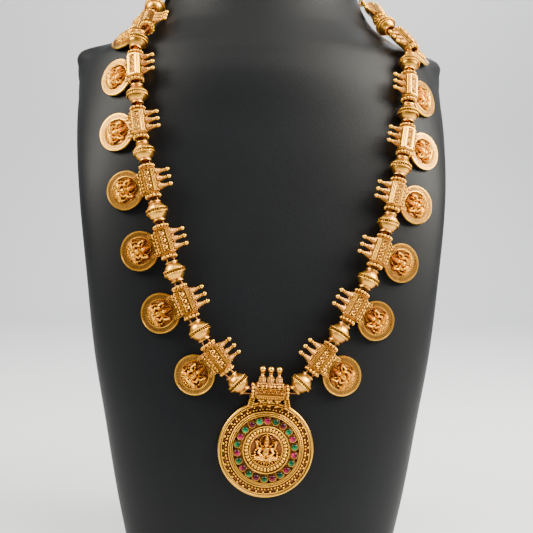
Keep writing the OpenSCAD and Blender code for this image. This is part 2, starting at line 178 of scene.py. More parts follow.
class String:
    """One side of the necklace's string, from the pendant to the clasp."""

    def __init__(self, side):
        self.side, self.sign, self.rows = side, SIDE[side], ROUTE[side]
        steps = 10
        points = [self.at_row(k / steps) for k in range((len(self.rows) - 1) * steps + 1)]
        gaps = [np.linalg.norm(b - a) for a, b in zip(points, points[1:])]
        self.along = np.concatenate([[0], np.cumsum(gaps)])
        self.length = self.along[-1]
        self.row_numbers = np.arange(len(points)) / steps

    def row(self, u):
        """The route's table at a row number that need not be whole, on a smooth curve."""
        last = len(self.rows) - 1
        i = min(int(math.floor(u)), last - 1)
        p, q, r, s = (np.array(self.rows[max(0, min(last, i + k))], float) for k in (-1, 0, 1, 2))
        t = u - i
        square = (2 * p - 5 * q + 4 * r - s) * t * t
        cube = (3 * q - p - 3 * r + s) * t**3
        return 0.5 * (2 * q + (r - p) * t + square + cube)

    def at_row(self, u):
        """Point of the string at a row number."""
        turn, z, clear = self.row(u)
        return skin(self.sign * turn, z) + clear * outward(self.sign * turn, z)

    def place(self, s):
        """Point of the string at a length along it."""
        return self.at_row(float(np.interp(s, self.along, self.row_numbers)))

    def frame(self, s):
        """Frame of a piece: x along the string, y to the coin's side, z off the bust."""
        turn, z, _ = self.row(float(np.interp(s, self.along, self.row_numbers)))
        up = outward(self.sign * turn, z)
        run = -self.sign * unit(self.place(s + 2) - self.place(s - 2))
        x = unit(run - np.dot(run, up) * up)
        m = np.eye(4)
        m[:3, 0], m[:3, 1], m[:3, 2], m[:3, 3] = x, np.cross(up, x), up, self.place(s)
        return m

    def piece(self, k):
        """How far along the string the middle of a bead or coin piece is."""
        return FIRST_BEAD + k * STEP[self.side]

    def last_end(self):
        """How far along the string the last coin piece ends."""
        return self.piece(2 * COINS - 1) + BARREL_LEN / 2


STRING = {side: String(side) for side in ("left", "right")}


def turn_about(axis, degrees):
    """Matrix of a turn about an axis."""
    m = np.eye(4)
    m[:3, :3] = np.array(Matrix.Rotation(math.radians(degrees), 3, axis))
    return m


def shift(x, y, z):
    """Matrix of a move."""
    m = np.eye(4)
    m[:3, 3] = (x, y, z)
    return m


def hung():
    """Frame of the pendant: x along its barrel, y up, z towards the viewer."""
    p = skin(0, PENDANT_Z) + PENDANT_CLEAR * outward(0, PENDANT_Z)
    lean = turn_about("X", 90 - PENDANT_LEAN) @ turn_about("Z", -PENDANT_ROLL)
    return shift(PENDANT_X, p[1], p[2]) @ lean


# Mesh pieces
class Shape:
    """Points with four-sided and three-sided faces, in millimetres, and the painted light of each point:
    lower where shade is painted, higher where light is painted.
    """

    def __init__(self, points=(), quads=(), tris=(), clean=1.0):
        self.p = np.array(points, float).reshape(-1, 3)
        self.q = np.array(quads, int).reshape(-1, 4)
        self.t = np.array(tris, int).reshape(-1, 3)
        self.clean = np.zeros(len(self.p)) + clean

    def moved(self, m):
        """The shape moved by a matrix."""
        return Shape(self.p @ m[:3, :3].T + m[:3, 3], self.q, self.t, self.clean)

    def at(self, x, y, z):
        """The shape moved without a turn."""
        return Shape(self.p + np.array([x, y, z]), self.q, self.t, self.clean)

    def with_painted_light(self, clean):
        """The shape with every point given the same painted light, lower for painted shade."""
        return Shape(self.p, self.q, self.t, clean)


def joined(shapes):
    """All the shapes as one."""
    points, quads, tris, n = [], [], [], 0
    for s in shapes:
        points.append(s.p)
        quads.append(s.q + n)
        tris.append(s.t + n)
        n += len(s.p)
    clean = np.concatenate([s.clean for s in shapes])
    return Shape(np.concatenate(points), np.concatenate(quads), np.concatenate(tris), clean)


def fine(s, step=0.8):
    """Splits the larger four-sided faces into a grid, so that shade can vary over them."""
    points, quads = [s.p], []
    n = len(s.p)
    for face in s.q:
        a, b, c, d = s.p[face]
        nu = max(1, int(round(np.linalg.norm(b - a) / step)))
        nv = max(1, int(round(np.linalg.norm(d - a) / step)))
        if nu * nv == 1:
            quads.append(face[None])
            continue
        u, v = np.meshgrid(np.linspace(0, 1, nu + 1), np.linspace(0, 1, nv + 1), indexing="ij")
        u, v = u[..., None], v[..., None]
        within = (1 - u) * (1 - v) * a + u * (1 - v) * b + u * v * c + (1 - u) * v * d
        points.append(within.reshape(-1, 3))
        quads.append(net(nu + 1, nv + 1, close_columns=False)[:, ::-1] + n)
        n += (nu + 1) * (nv + 1)
    return Shape(np.concatenate(points), np.concatenate(quads), s.t)


def net(rows, columns, close_rows=False, close_columns=True):
    """Faces of a grid of points, row by row."""
    r = np.arange(rows if close_rows else rows - 1)
    c = np.arange(columns if close_columns else columns - 1)
    r, c = np.meshgrid(r, c, indexing="ij")
    r2, c2 = (r + 1) % rows, (c + 1) % columns
    faces = [r * columns + c, r * columns + c2, r2 * columns + c2, r2 * columns + c]
    return np.stack(faces, -1).reshape(-1, 4)


def spun(outline, sides):
    """Points of [radius, height] rows turned round z, row by row."""
    o = np.array(outline, float)
    a = np.arange(sides) * 2 * math.pi / sides
    points = [o[:, :1] * np.cos(a), o[:, :1] * np.sin(a), np.repeat(o[:, 1:], sides, 1)]
    return np.stack(points, -1).reshape(-1, 3)


def lathe(outline, sides=32, axis="z"):
    """A body turned from [radius, height] points, outer side facing out when heights rise."""
    points = spun(outline, sides)
    return Shape(points[:, [2, 0, 1]] if axis == "x" else points, net(len(outline), sides))


def wire_ring(radius, wire, sides=64, round_sides=8, z=0.0):
    """A ring of round wire about z."""
    a = np.arange(round_sides) * 2 * math.pi / round_sides
    section = np.stack([radius + wire / 2 * np.cos(a), z + wire / 2 * np.sin(a)], -1)
    return Shape(spun(section, sides), net(round_sides, sides, close_rows=True))


def ball(d, rows=8, sides=12):
    """A ball about the origin."""
    a = np.linspace(-math.pi / 2, math.pi / 2, rows + 1)
    outline = [(max(d / 2 * math.cos(v), 0.01), d / 2 * math.sin(v)) for v in a]
    return lathe(outline, sides)


def block(low, high, edge=0.15):
    """A box with its edges taken off."""
    low, high = np.array(low, float), np.array(high, float)
    mid, half = (low + high) / 2, (high - low) / 2
    points, number = [], {}
    for i in range(8):
        corner = np.array([1 if i & 1 else -1, 1 if i & 2 else -1, 1 if i & 4 else -1], float)
        for axis in range(3):
            v = corner * (half - edge)
            v[axis] = corner[axis] * half[axis]
            number[(i, axis)] = len(points)
            points.append(mid + v)
    quads, tris = [], []

    def facing(face):
        v = [points[k] for k in face]
        n = np.cross(v[1] - v[0], v[2] - v[0])
        return face if np.dot(n, sum(v) / len(v) - mid) > 0 else face[::-1]

    for axis in range(3):
        b, c = [k for k in range(3) if k != axis]
        for s in (0, 1):
            ids = [(s << axis) | (u << b) | (v << c) for u, v in ((0, 0), (1, 0), (1, 1), (0, 1))]
            quads.append(facing([number[(i, axis)] for i in ids]))
        for u in (0, 1):
            for v in (0, 1):
                i = (u << b) | (v << c)
                j = i | (1 << axis)
                quads.append(facing([number[(i, b)], number[(j, b)], number[(j, c)], number[(i, c)]]))
    for i in range(8):
        tris.append(facing([number[(i, 0)], number[(i, 1)], number[(i, 2)]]))
    return Shape(points, quads, tris)


def wire(points, d, sides=6, closed=False):
    """A round wire bent along points."""
    p = np.array(points, float)
    n = len(p)
    if closed:
        run = np.roll(p, -1, 0) - np.roll(p, 1, 0)
    else:
        run = np.gradient(p, axis=0)
    run /= np.linalg.norm(run, axis=1)[:, None]
    up = np.array([0, 0, 1.0])
    if abs(run @ up).max() > 0.95:
        up = np.array([0, 1.0, 0])
    across = np.cross(run, up)
    across /= np.linalg.norm(across, axis=1)[:, None]
    over = np.cross(across, run)
    a = np.arange(sides) * 2 * math.pi / sides
    sideways = np.cos(a)[None, :, None] * across[:, None]
    upward = np.sin(a)[None, :, None] * over[:, None]
    rings = p[:, None] + d / 2 * (sideways + upward)
    s = Shape(rings.reshape(-1, 3), net(n, sides, close_rows=closed)[:, ::-1])
    if not closed:
        ends = []
        for row, flip in ((0, False), (n - 1, True)):
            for k in range(1, sides - 1):
                f = [row * sides, row * sides + k, row * sides + k + 1]
                ends.append(f[::-1] if flip else f)
        s.t = np.array(ends, int)
    return s


# Node trees for repeats
def fitted(tree, node, **inputs):
    """Sets inputs of a node, each to a value or to an output in the tree."""
    for name, value in inputs.items():
        place = node.inputs[name.replace("_", " ")]
        if isinstance(value, bpy.types.NodeSocket):
            tree.links.new(value, place)
        else:
            place.default_value = value
    return node


def added(tree, kind, **inputs):
    """A new node in the tree, with its inputs set."""
    return fitted(tree, tree.nodes.new(kind), **inputs)


def worked_out(tree, operation, *values):
    """Result of a sum, each value a number or an output in the tree."""
    node = tree.nodes.new("ShaderNodeMath")
    node.operation = operation
    for place, value in zip(node.inputs, values):
        if isinstance(value, bpy.types.NodeSocket):
            tree.links.new(value, place)
        else:
            place.default_value = value
    return node.outputs[0]


def new_tree(name, inputs):
    """A tree with named inputs, given as rows of label, kind and value, and what enters it."""
    tree = bpy.data.node_groups.new(name, "GeometryNodeTree")
    tree.interface.new_socket("Geometry", in_out="INPUT", socket_type="NodeSocketGeometry")
    for label, kind, value in inputs:
        s = tree.interface.new_socket(label, in_out="INPUT", socket_type=kind)
        s.default_value = value
    tree.interface.new_socket("Material", in_out="INPUT", socket_type="NodeSocketMaterial")
    tree.interface.new_socket("Geometry", in_out="OUTPUT", socket_type="NodeSocketGeometry")
    return tree, tree.nodes.new("NodeGroupInput").outputs


def finished(tree, entry, geometry):
    """Every tree ends by making its copies real and giving them their material."""
    real = added(tree, "GeometryNodeRealizeInstances", Geometry=geometry).outputs["Geometry"]
    paint = added(tree, "GeometryNodeSetMaterial", Geometry=real, Material=entry["Material"])
    added(tree, "NodeGroupOutput", Geometry=paint.outputs["Geometry"])
    return tree


def point_value(tree, name, kind):
    """A value that each point brings with it."""
    node = tree.nodes.new("GeometryNodeInputNamedAttribute")
    node.data_type = kind
    return fitted(tree, node, Name=name).outputs["Attribute"]


def set_on(tree, points, shape, **inputs):
    """A copy of a shape on every point."""
    put = added(tree, "GeometryNodeInstanceOnPoints", Points=points, Instance=shape, **inputs)
    return put.outputs["Instances"]


def round_curve(tree, resolution, radius):
    """A circle, as a path or as the outline of a wire."""
    circle = added(tree, "GeometryNodeCurvePrimitiveCircle", Resolution=resolution, Radius=radius)
    return circle.outputs["Curve"]


def round_section(tree, thickness, sides):
    """The round outline of a wire."""
    return round_curve(tree, sides, worked_out(tree, "MULTIPLY", thickness, 0.5))


def drawn_along(tree, path, section, **inputs):
    """A wire with a given outline along a path."""
    solid = added(tree, "GeometryNodeCurveToMesh", Curve=path, Profile_Curve=section, **inputs)
    return solid.outputs["Mesh"]


def share_of_index(tree, count, whole):
    """A point's number divided by a count, times what the whole count stands for."""
    index = tree.nodes.new("GeometryNodeInputIndex").outputs[0]
    return worked_out(tree, "MULTIPLY", worked_out(tree, "DIVIDE", index, count), whole)


def grains_tree():
    """A small round grain on every point, as large as the point's own size."""
    inputs = [("Roundness", "NodeSocketInt", 2), ("Scale", "NodeSocketFloat", 1.0)]
    tree, entry = new_tree("grains", inputs)
    grain = added(tree, "GeometryNodeMeshIcoSphere", Radius=0.5, Subdivisions=entry["Roundness"])
    size = worked_out(tree, "MULTIPLY", point_value(tree, "size", "FLOAT"), entry["Scale"])
    put = set_on(tree, entry["Geometry"], grain.outputs["Mesh"], Scale=size)
    return finished(tree, entry, put)


def twist_tree():
    """A ring of flattened wire, twisted along its length like a rope."""
    inputs = [
        ("Radius", "NodeSocketFloat", 10.0),
        ("Wire", "NodeSocketFloat", 0.9),
        ("Turns", "NodeSocketInt", 40),
        ("Points a turn", "NodeSocketInt", 7),
        ("Flatness", "NodeSocketVector", (1.0, 0.76, 1.0)),
    ]
    tree, entry = new_tree("twisted_ring", inputs)
    points = worked_out(tree, "MULTIPLY", entry["Turns"], entry["Points a turn"])
    ring = round_curve(tree, points, entry["Radius"])
    angle = share_of_index(tree, entry["Points a turn"], math.pi)
    tilt = added(tree, "GeometryNodeSetCurveTilt", Curve=ring, Tilt=angle)
    section = round_section(tree, entry["Wire"], 8)
    flat = added(tree, "GeometryNodeTransform", Geometry=section, Scale=entry["Flatness"])
    rope = drawn_along(tree, tilt.outputs["Curve"], flat.outputs["Geometry"])
    return finished(tree, entry, rope)


def ribs_tree():
    """Small ribs set radially round a circle."""
    inputs = [
        ("Count", "NodeSocketInt", 56),
        ("Radius", "NodeSocketFloat", 9.3),
        ("Size", "NodeSocketVector", (1.3, 0.5, 0.5)),
    ]
    tree, entry = new_tree("ribs_round_a_ring", inputs)
    ring = added(tree, "GeometryNodeMeshCircle", Vertices=entry["Count"], Radius=entry["Radius"])
    rib = added(tree, "GeometryNodeMeshCube", Size=entry["Size"])
    turn = added(tree, "ShaderNodeCombineXYZ", Z=share_of_index(tree, entry["Count"], 2 * math.pi))
    put = set_on(tree, ring.outputs["Mesh"], rib.outputs["Mesh"], Rotation=turn.outputs[0])
    return finished(tree, entry, put)


def links_tree():
    """A round link on every point, turned as the point says."""
    inputs = [("Ring radius", "NodeSocketFloat", RING_R), ("Wire", "NodeSocketFloat", RING_WIRE)]
    tree, entry = new_tree("links", inputs)
    ring = round_curve(tree, 26, entry["Ring radius"])
    link = drawn_along(tree, ring, round_section(tree, entry["Wire"], 10))
    way = point_value(tree, "way", "FLOAT_VECTOR")
    return finished(tree, entry, set_on(tree, entry["Geometry"], link, Rotation=way))


def strand_tree():
    """A round thread along the edges of a line of points."""
    tree, entry = new_tree("strand", [("Thickness", "NodeSocketFloat", THREAD_D)])
    line = added(tree, "GeometryNodeMeshToCurve", Mesh=entry["Geometry"]).outputs["Curve"]
    section = round_section(tree, entry["Thickness"], 10)
    return finished(tree, entry, drawn_along(tree, line, section, Fill_Caps=True))


GRAINS, TWIST, RIBS = grains_tree(), twist_tree(), ribs_tree()
LINKS, STRAND = links_tree(), strand_tree()


def socket(tree, name):
    """Identifier of a tree's input."""
    for item in tree.interface.items_tree:
        if item.item_type == "SOCKET" and item.in_out == "INPUT" and item.name == name:
            return item.identifier


def grown(tree, points=((0, 0, 0),), edges=(), attribute=None, material=None, **inputs):
    """Runs a tree on points and gives its result as a plain shape."""
    start = bpy.data.meshes.new("start")
    start.from_pydata([tuple(map(float, p)) for p in points], list(edges), [])
    if attribute:
        name, kind, values = attribute
        a = start.attributes.new(name, kind, "POINT")
        a.data.foreach_set("vector" if kind == "FLOAT_VECTOR" else "value", np.array(values, float).ravel())
    o = bpy.data.objects.new("start", start)
    bpy.context.scene.collection.objects.link(o)
    m = o.modifiers.new("grow", "NODES")
    m.node_group = tree
    for name, value in inputs.items():
        m[socket(tree, name.replace("_", " "))] = value
    m[socket(tree, "Material")] = material
    bpy.context.view_layer.update()
    made = bpy.data.meshes.new_from_object(o.evaluated_get(bpy.context.evaluated_depsgraph_get()))
    p = np.zeros(len(made.vertices) * 3)
    made.vertices.foreach_get("co", p)
    starts = np.zeros(len(made.polygons), int)
    totals = np.zeros(len(made.polygons), int)
    made.polygons.foreach_get("loop_start", starts)
    made.polygons.foreach_get("loop_total", totals)
    corner = np.zeros(len(made.loops), int)
    made.loops.foreach_get("vertex_index", corner)
    quads = starts[totals == 4][:, None] + np.arange(4)
    tris = starts[totals == 3][:, None] + np.arange(3)
    extra = []
    for s, t in zip(starts[totals > 4], totals[totals > 4]):
        extra += [[corner[s], corner[s + k], corner[s + k + 1]] for k in range(1, t - 1)]
    triangles = [corner[tris].reshape(-1, 3), np.array(extra, int).reshape(-1, 3)]
    shape = Shape(p, corner[quads], np.concatenate(triangles))
    bpy.data.objects.remove(o)
    bpy.data.meshes.remove(start)
    bpy.data.meshes.remove(made)
    return shape


def grains(places, roundness=2):
    """Grains from [x, y, z, size] rows."""
    rows = np.array(places, float)
    return grown(GRAINS, rows[:, :3], attribute=("size", "FLOAT", rows[:, 3]), Roundness=roundness)


def twisted(radius, wire_d, turns, z=0.0, points=7):
    """A ring of twisted wire about z."""
    rope = grown(TWIST, Radius=float(radius), Wire=wire_d, Turns=turns, Points_a_turn=points)
    return rope.at(0, 0, z)


# The seated figure, in tenths of its height
def hump(x, y, cx, cy, rx, ry, high, turn=0.0):
    """Height of a rounded lump on the relief."""
    a = math.radians(turn)
    u = ((x - cx) * math.cos(a) + (y - cy) * math.sin(a)) / rx
    v = (-(x - cx) * math.sin(a) + (y - cy) * math.cos(a)) / ry
    return high * np.clip(1 - u * u - v * v, 0, None) ** 0.5


def dot(x, y, cx, cy, r, high):
    """Height of a round grain on the relief."""
    return hump(x, y, cx, cy, r, r, high)


def limb(x, y, a, b, r, high):
    """Height of a rounded limb from a to b."""
    a, b = np.array(a, float), np.array(b, float)
    ab = b - a
    t = np.clip(((x - a[0]) * ab[0] + (y - a[1]) * ab[1]) / (ab @ ab), 0, 1)
    d2 = (x - a[0] - t * ab[0]) ** 2 + (y - a[1] - t * ab[1]) ** 2
    return high * np.sqrt(np.clip(1 - d2 / (r * r), 0, None))


def blended(heights, soft=0.07):
    """The highest of all lumps, with soft joints between them."""
    top = np.max(heights, 0)
    total = sum(np.exp((h - top) / soft) * (h > 0) for h in heights)
    return top + soft * np.log(np.maximum(total, 1)) * (top > 0)


def trunk(x, y):
    """Belly, shoulders, neck, head, nose, mouth and chest."""
    return [
        hump(x, y, 0, -1.0, 1.35, 1.6, 1.2),
        hump(x, y, 0, 0.15, 2.0, 0.75, 1.15),
        hump(x, y, 0, 0.85, 0.5, 0.6, 1.1),
        hump(x, y, 0, 1.6, 0.98, 1.02, 1.7),
        hump(x, y, 0, 1.3, 0.19, 0.42, 1.95),
        hump(x, y, 0, 1.02, 0.3, 0.1, 1.78),
        hump(x, y, -0.56, -0.45, 0.52, 0.48, 1.42),
        hump(x, y, 0.56, -0.45, 0.52, 0.48, 1.42),
    ]


def limbs_of_side(x, y, m):
    """Front arm, back arm and the flower it holds, ear, eye, brow, leg and foot of one side."""
    return [
        limb(x, y, (m * 1.6, 0.25), (m * 2.4, -1.0), 0.6, 1.35),
        limb(x, y, (m * 2.4, -1.0), (m * 1.5, -1.8), 0.5, 1.55),
        hump(x, y, m * 1.35, -1.9, 0.5, 0.42, 1.65),
        limb(x, y, (m * 1.5, 0.4), (m * 2.75, 0.35), 0.5, 1.1),
        limb(x, y, (m * 2.75, 0.35), (m * 3.0, 1.5), 0.46, 1.15),
        hump(x, y, m * 3.05, 2.1, 0.7, 0.6, 1.2),
        hump(x, y, m * 2.75, 2.5, 0.3, 0.55, 1.35, m * 30),
        hump(x, y, m * 3.35, 2.5, 0.3, 0.55, 1.35, -m * 30),
        hump(x, y, m * 3.05, 2.75, 0.25, 0.5, 1.45),
        hump(x, y, m * 1.08, 1.2, 0.3, 0.42, 1.5),
        hump(x, y, m * 0.4, 1.75, 0.2, 0.11, 1.86),
        hump(x, y, m * 0.42, 1.98, 0.26, 0.07, 1.9),
        limb(x, y, (m * 0.7, -2.4), (m * 3.2, -2.75), 0.85, 1.45),
        limb(x, y, (m * 3.15, -2.95), (-m * 0.4, -3.3), 0.55, 1.55),
        hump(x, y, m * 1.3, -3.45, 0.65, 0.32, 1.6),
    ]


def ornaments_of_side(x, y, m):
    """Garland, bands of the feet, arms and legs, attendants and shawl of one side."""
    lumps = []
    for k in range(6):
        a = math.radians(66 - 27 * k)
        lumps.append(dot(x, y, m * (0.8 + 1.25 * math.cos(a)), -0.9 + 1.5 * math.sin(a), 0.31, 1.75))
    for k in range(3):
        lumps.append(dot(x, y, m * (1.9 + 0.42 * k), -3.3 + 0.3 * k, 0.3, 1.85))
        lumps.append(dot(x, y, m * (2.9 + 0.42 * k), 0.6 - 0.75 * k, 0.4, 1.15))
        lumps.append(dot(x, y, m * (3.5 + 0.1 * k), -1.0 - 0.62 * k, 0.36, 1.0))
    for k in range(4):
        lumps.append(dot(x, y, m * (1.5 + 0.58 * k), -2.45 - 0.05 * k, 0.27, 1.75))
    lumps.append(limb(x, y, (m * 1.3, 0.9), (m * 2.1, 1.9), 0.3, 0.9))
    return lumps


def crown_and_halo(x, y):
    """Five beaded rows of the tall crown, its tip, and a halo of grains behind the head."""
    lumps = []
    rows = ((1.2, 1.65), (1.05, 1.62), (0.86, 1.56), (0.64, 1.48), (0.42, 1.4))
    for k, (wide, high) in enumerate(rows):
        lumps.append(hump(x, y, 0, 2.5 + 0.5 * k, wide, 0.34, high))
        beads = 4 - k // 2
        for j in range(beads):
            across = ((j + 0.5) / beads * 2 - 1) * wide * 0.85
            lumps.append(dot(x, y, across, 2.4 + 0.5 * k, 0.24, high + 0.22))
    lumps.append(dot(x, y, 0, 4.95, 0.34, 1.4))
    for k in range(13):
        a = math.radians(-14 + 208 * k / 12)
        lumps.append(dot(x, y, 2.15 * math.cos(a), 2.2 + 2.5 * math.sin(a), 0.3, 1.0))
    return lumps


def necklace_and_belt(x, y):
    """A row of grains under the neck and one round the hips."""
    lumps = []
    for k in range(6):
        a = math.radians(206 + 25.5 * k)
        lumps.append(dot(x, y, 1.2 * math.cos(a), 0.35 + 0.8 * math.sin(a), 0.25, 1.7))
        lumps.append(dot(x, y, (k - 2.5) * 0.52, -2.05 - 0.02 * (k - 2.5) ** 2, 0.24, 1.7))
    return lumps


def lotus_seat(x, y):
    """Two rows of petals along an arc, and a row of grains below them."""
    lumps = []
    for count, reach, wide, tall, high in ((12, 3.98, 0.38, 0.66, 1.25), (9, 3.5, 0.34, 0.5, 1.5)):
        for k in range(count):
            turn = (k - (count - 1) / 2) * 12.4
            a = math.radians(turn)
            cx, cy = reach * math.sin(a), -0.4 - reach * math.cos(a)
            lumps.append(hump(x, y, cx, cy, wide, tall, high, turn))
    for k in range(16):
        a = math.radians((k - 7.5) * 9.3)
        lumps.append(dot(x, y, 4.74 * math.sin(a), -0.4 - 4.74 * math.cos(a), 0.3, 0.95))
    return lumps


def figure_height(x, y):
    """A seated figure: crown, face, four arms, crossed legs and lotus seat."""
    lumps = trunk(x, y)
    for m in (-1, 1):
        lumps += limbs_of_side(x, y, m) + ornaments_of_side(x, y, m)
    lumps += crown_and_halo(x, y) + necklace_and_belt(x, y) + lotus_seat(x, y)
    return blended(lumps)


# Height and depth of the figure in its own units, and how far it sits above the middle, in mm
FIGURE_TALL, FIGURE_DEEP, FIGURE_UP = 10.3, 1.6, 0.1


def relief(radius, tall, deep, cells, dish, field, turned_round=False):
    """The round field behind the figure, slightly dished and painted darker as shade, with the figure
    raised on it and painted lighter.
    """
    c = np.linspace(-radius, radius, cells)
    x, y = np.meshgrid(c, c)
    u = tall / FIGURE_TALL
    sign = -1 if turned_round else 1
    high = figure_height(sign * x / u, (sign * y - FIGURE_UP) / u) * deep / FIGURE_DEEP
    far = (x * x + y * y) / radius**2
    # the low field is painted darker as shade and the raised figure lighter as painted light
    clean = (field + (1.25 - field) * ease(0.1, 0.45, high / deep)).reshape(-1)
    points = np.stack([x, y, dish * (far - 1) + high], -1).reshape(-1, 3)
    faces = net(cells, cells, close_columns=False)
    inside = x * x + y * y <= (radius * 1.02) ** 2
    faces = faces[inside.reshape(-1)[faces].all(1)]
    used, back = np.unique(faces, return_inverse=True)
    return Shape(points[used], back.reshape(faces.shape), clean=clean[used])


# Parts of the gold work. Feet and neck of the finials are rows of shares: radius, height
ROUND_FOOT = [
    (1.0, 0), (1.06, 0.05), (1.04, 0.11), (0.9, 0.15), (0.98, 0.2), (0.95, 0.27),
    (0.82, 0.31), (0.86, 0.36), (0.82, 0.43), (0.69, 0.47), (0.72, 0.52), (0.67, 0.58),
    (0.53, 0.63), (0.64, 0.68), (0.62, 0.74), (0.42, 0.78),
]
SQUARE_FOOT = [
    (1.0, 0), (1.04, 0.04), (1.04, 0.09), (0.92, 0.13), (0.98, 0.18), (0.98, 0.24),
    (0.9, 0.28), (0.97, 0.33), (0.96, 0.41), (0.88, 0.45), (0.94, 0.49), (0.92, 0.56),
    (0.76, 0.61), (0.56, 0.67), (0.46, 0.74), (0.4, 0.78),
]
FINIAL_NECK = [(0.45, 0.86), (0.78, 0.9), (0.8, 0.96), (0.48, 1.0), (0.4, 1.04)]
FLUTES, FLUTE_DEPTH = 8, 0.06


def finial(start, reach, ball_d, foot_d, sides=24, square=0.0):
    """A ball on a stepped and fluted bell foot with collars, rising along +z."""
    height, r, f = reach - start, ball_d / 2, foot_d / 2
    stem = height - ball_d
    outline = [(a * f, b * stem) for a, b in (SQUARE_FOOT if square else ROUND_FOOT)]
    outline += [(a * r, b * stem) for a, b in FINIAL_NECK]
    for k in range(2, 11):
        a = -math.pi / 2 + k * math.pi / 10
        outline.append((max(r * math.cos(a), 0.01), height - r + r * math.sin(a)))
    s = lathe(outline, sides)
    # flutes and a square plan on the foot alone
    a = np.arctan2(s.p[:, 1], s.p[:, 0])
    on_foot = np.clip((stem * 0.76 - s.p[:, 2]) / (stem * 0.15), 0, 1)
    corner = (np.abs(np.cos(a)) ** 5 + np.abs(np.sin(a)) ** 5) ** -0.2
    wide = 1 + on_foot * (square * (corner - 1) + FLUTE_DEPTH * np.cos(FLUTES * a))
    s.p[:, :2] *= wide[:, None]
    # the foot is painted a little darker, as painted shade
    s.clean = 1 - 0.3 * on_foot
    return s.at(0, 0, start)


def whorl(x, y, cx, cy, r, high):
    """Height of a round boss with a spiral groove."""
    d = np.hypot(x - cx, y - cy) / r
    turn = np.arctan2(y - cy, x - cx)
    groove = 0.62 + 0.38 * np.cos(2 * math.pi * 1.45 * d - turn)
    return high * np.sqrt(np.clip(1 - d * d, 0, None)) * groove


def panel(half_x, half_y, step, height, drop=0.9):
    """A panel of cast work with sides: its top has a ground and, raised on it, a pattern."""
    nx, ny = int(2 * half_x / step) + 1, int(2 * half_y / step) + 1
    x, y = np.linspace(-half_x, half_x, nx), np.linspace(-half_y, half_y, ny)
    x, y = np.meshgrid(x, y, indexing="ij")
    ground, raised = height(x, y)
    z = np.pad(ground + raised, 1, "edge")
    # the ground is painted darker as shade and the raised pattern lighter
    clean = np.pad(0.35 + 0.65 * ease(0.1, 0.5, raised), 1, "edge").reshape(-1)
    z[[0, -1]] -= drop
    z[1:-1, [0, -1]] -= drop
    points = np.stack([np.pad(x, 1, "edge"), np.pad(y, 1, "edge"), z], -1).reshape(-1, 3)
    return Shape(points, net(nx + 2, ny + 2, close_columns=False)[:, ::-1], clean=clean)


def frame_wire(half_x, half_y, d, z):
    """A wire bent round a rectangle with rounded corners."""
    points, r = [], 0.5
    for cx, cy, start in ((1, 1, 0), (-1, 1, 90), (-1, -1, 180), (1, -1, 270)):
        for k in range(4):
            a = math.radians(start + 30 * k)
            points.append((cx * (half_x - r) + r * math.cos(a), cy * (half_y - r) + r * math.sin(a), z))
    return wire(points, d, closed=True)


def bar_wire(half, y, z, d):
    """A straight wire along x."""
    return wire([(x, y, z) for x in np.linspace(-half, half, 9)], d)


def grain_row(half, count, y, z, size, roundness=1):
    """A straight row of grains along x."""
    return grains([(x, y, z, size) for x in np.linspace(-half, half, count)], roundness)


def ring_places(radius, count, size, z):
    """Places of grains round the z axis."""
    a = np.arange(count) * 2 * math.pi / count
    return [(radius * math.cos(v), radius * math.sin(v), z, size) for v in a]


def along_x(places):
    """Turns places round the z axis into places round the x axis."""
    return [(z, x, y, size) for x, y, z, size in places]


def barrel(half, radius, bore, cap_w, cap_r, grain, count):
    """A tube whose ends each have a plain wire, a ring of small grains and one of large grains."""
    tube = [(radius, x) for x in (-half + cap_w, -half / 3, half / 3, half - cap_w)]
    shapes = [lathe(tube, 40, "x"), lathe([(bore, half - 0.1), (bore, -half + 0.1)], 28, "x")]
    bed = cap_r - grain * 0.62
    big = grain / 2
    # collar at each end, as radius and how far in from the end
    steps = [
        (radius - 0.1, cap_w), (cap_r - 0.35, cap_w - 0.05), (cap_r - 0.12, cap_w - 0.25),
        (cap_r - 0.35, cap_w - 0.48), (bed, cap_w - 0.55), (bed, big), (bed - 0.1, 0.35),
        (bed - 0.4, 0.1), (bore, 0.1),
    ]
    small = (cap_w - 0.5 - grain) * 1.15
    for m in (-1, 1):
        collar = [(r, m * (half - inward)) for r, inward in (steps if m > 0 else steps[::-1])]
        shapes.append(lathe(collar, 40, "x"))
        shapes.append(grains(along_x(ring_places(cap_r - big, count, grain, m * (half - big)))))
        if small > 0.3:
            at = m * (half - grain - small * 0.42)
            shapes.append(grains(along_x(ring_places(bed + small * 0.35, 24, small, at)), 1))
    return shapes


def coin_plate():
    """The coin's own turned body, with painted shade in the channel of its reeds."""
    r = COIN_R
    rim = [
        (0.02, -0.75), (r - 0.5, -0.75), (r - 0.12, -0.6), (r, -0.25), (r, 0.4), (r - 0.08, 0.75),
        (r - 0.3, 1.0), (r - 0.65, 1.02), (r - 0.85, 0.85), (r - 0.95, 0.6), (r - 1.2, 0.42),
    ]
    channel = [
        (r - 1.5, 0.38), (r - 2.9, 0.38), (r - 3.0, 0.6), (r - 3.15, 0.82), (r - 3.4, 0.86),
        (r - 3.62, 0.7), (r - 3.75, 0.3), (r - 3.8, -0.1), (r - 3.9, -0.3),
    ]
    plate = lathe(rim + channel, 72)
    far = np.hypot(plate.p[:, 0], plate.p[:, 1])
    in_channel = (far > r - 3.05) & (far < r - 1.0) & (plate.p[:, 2] > 0)
    plate.clean = np.where(in_channel, 0.2, 1.0)
    return plate


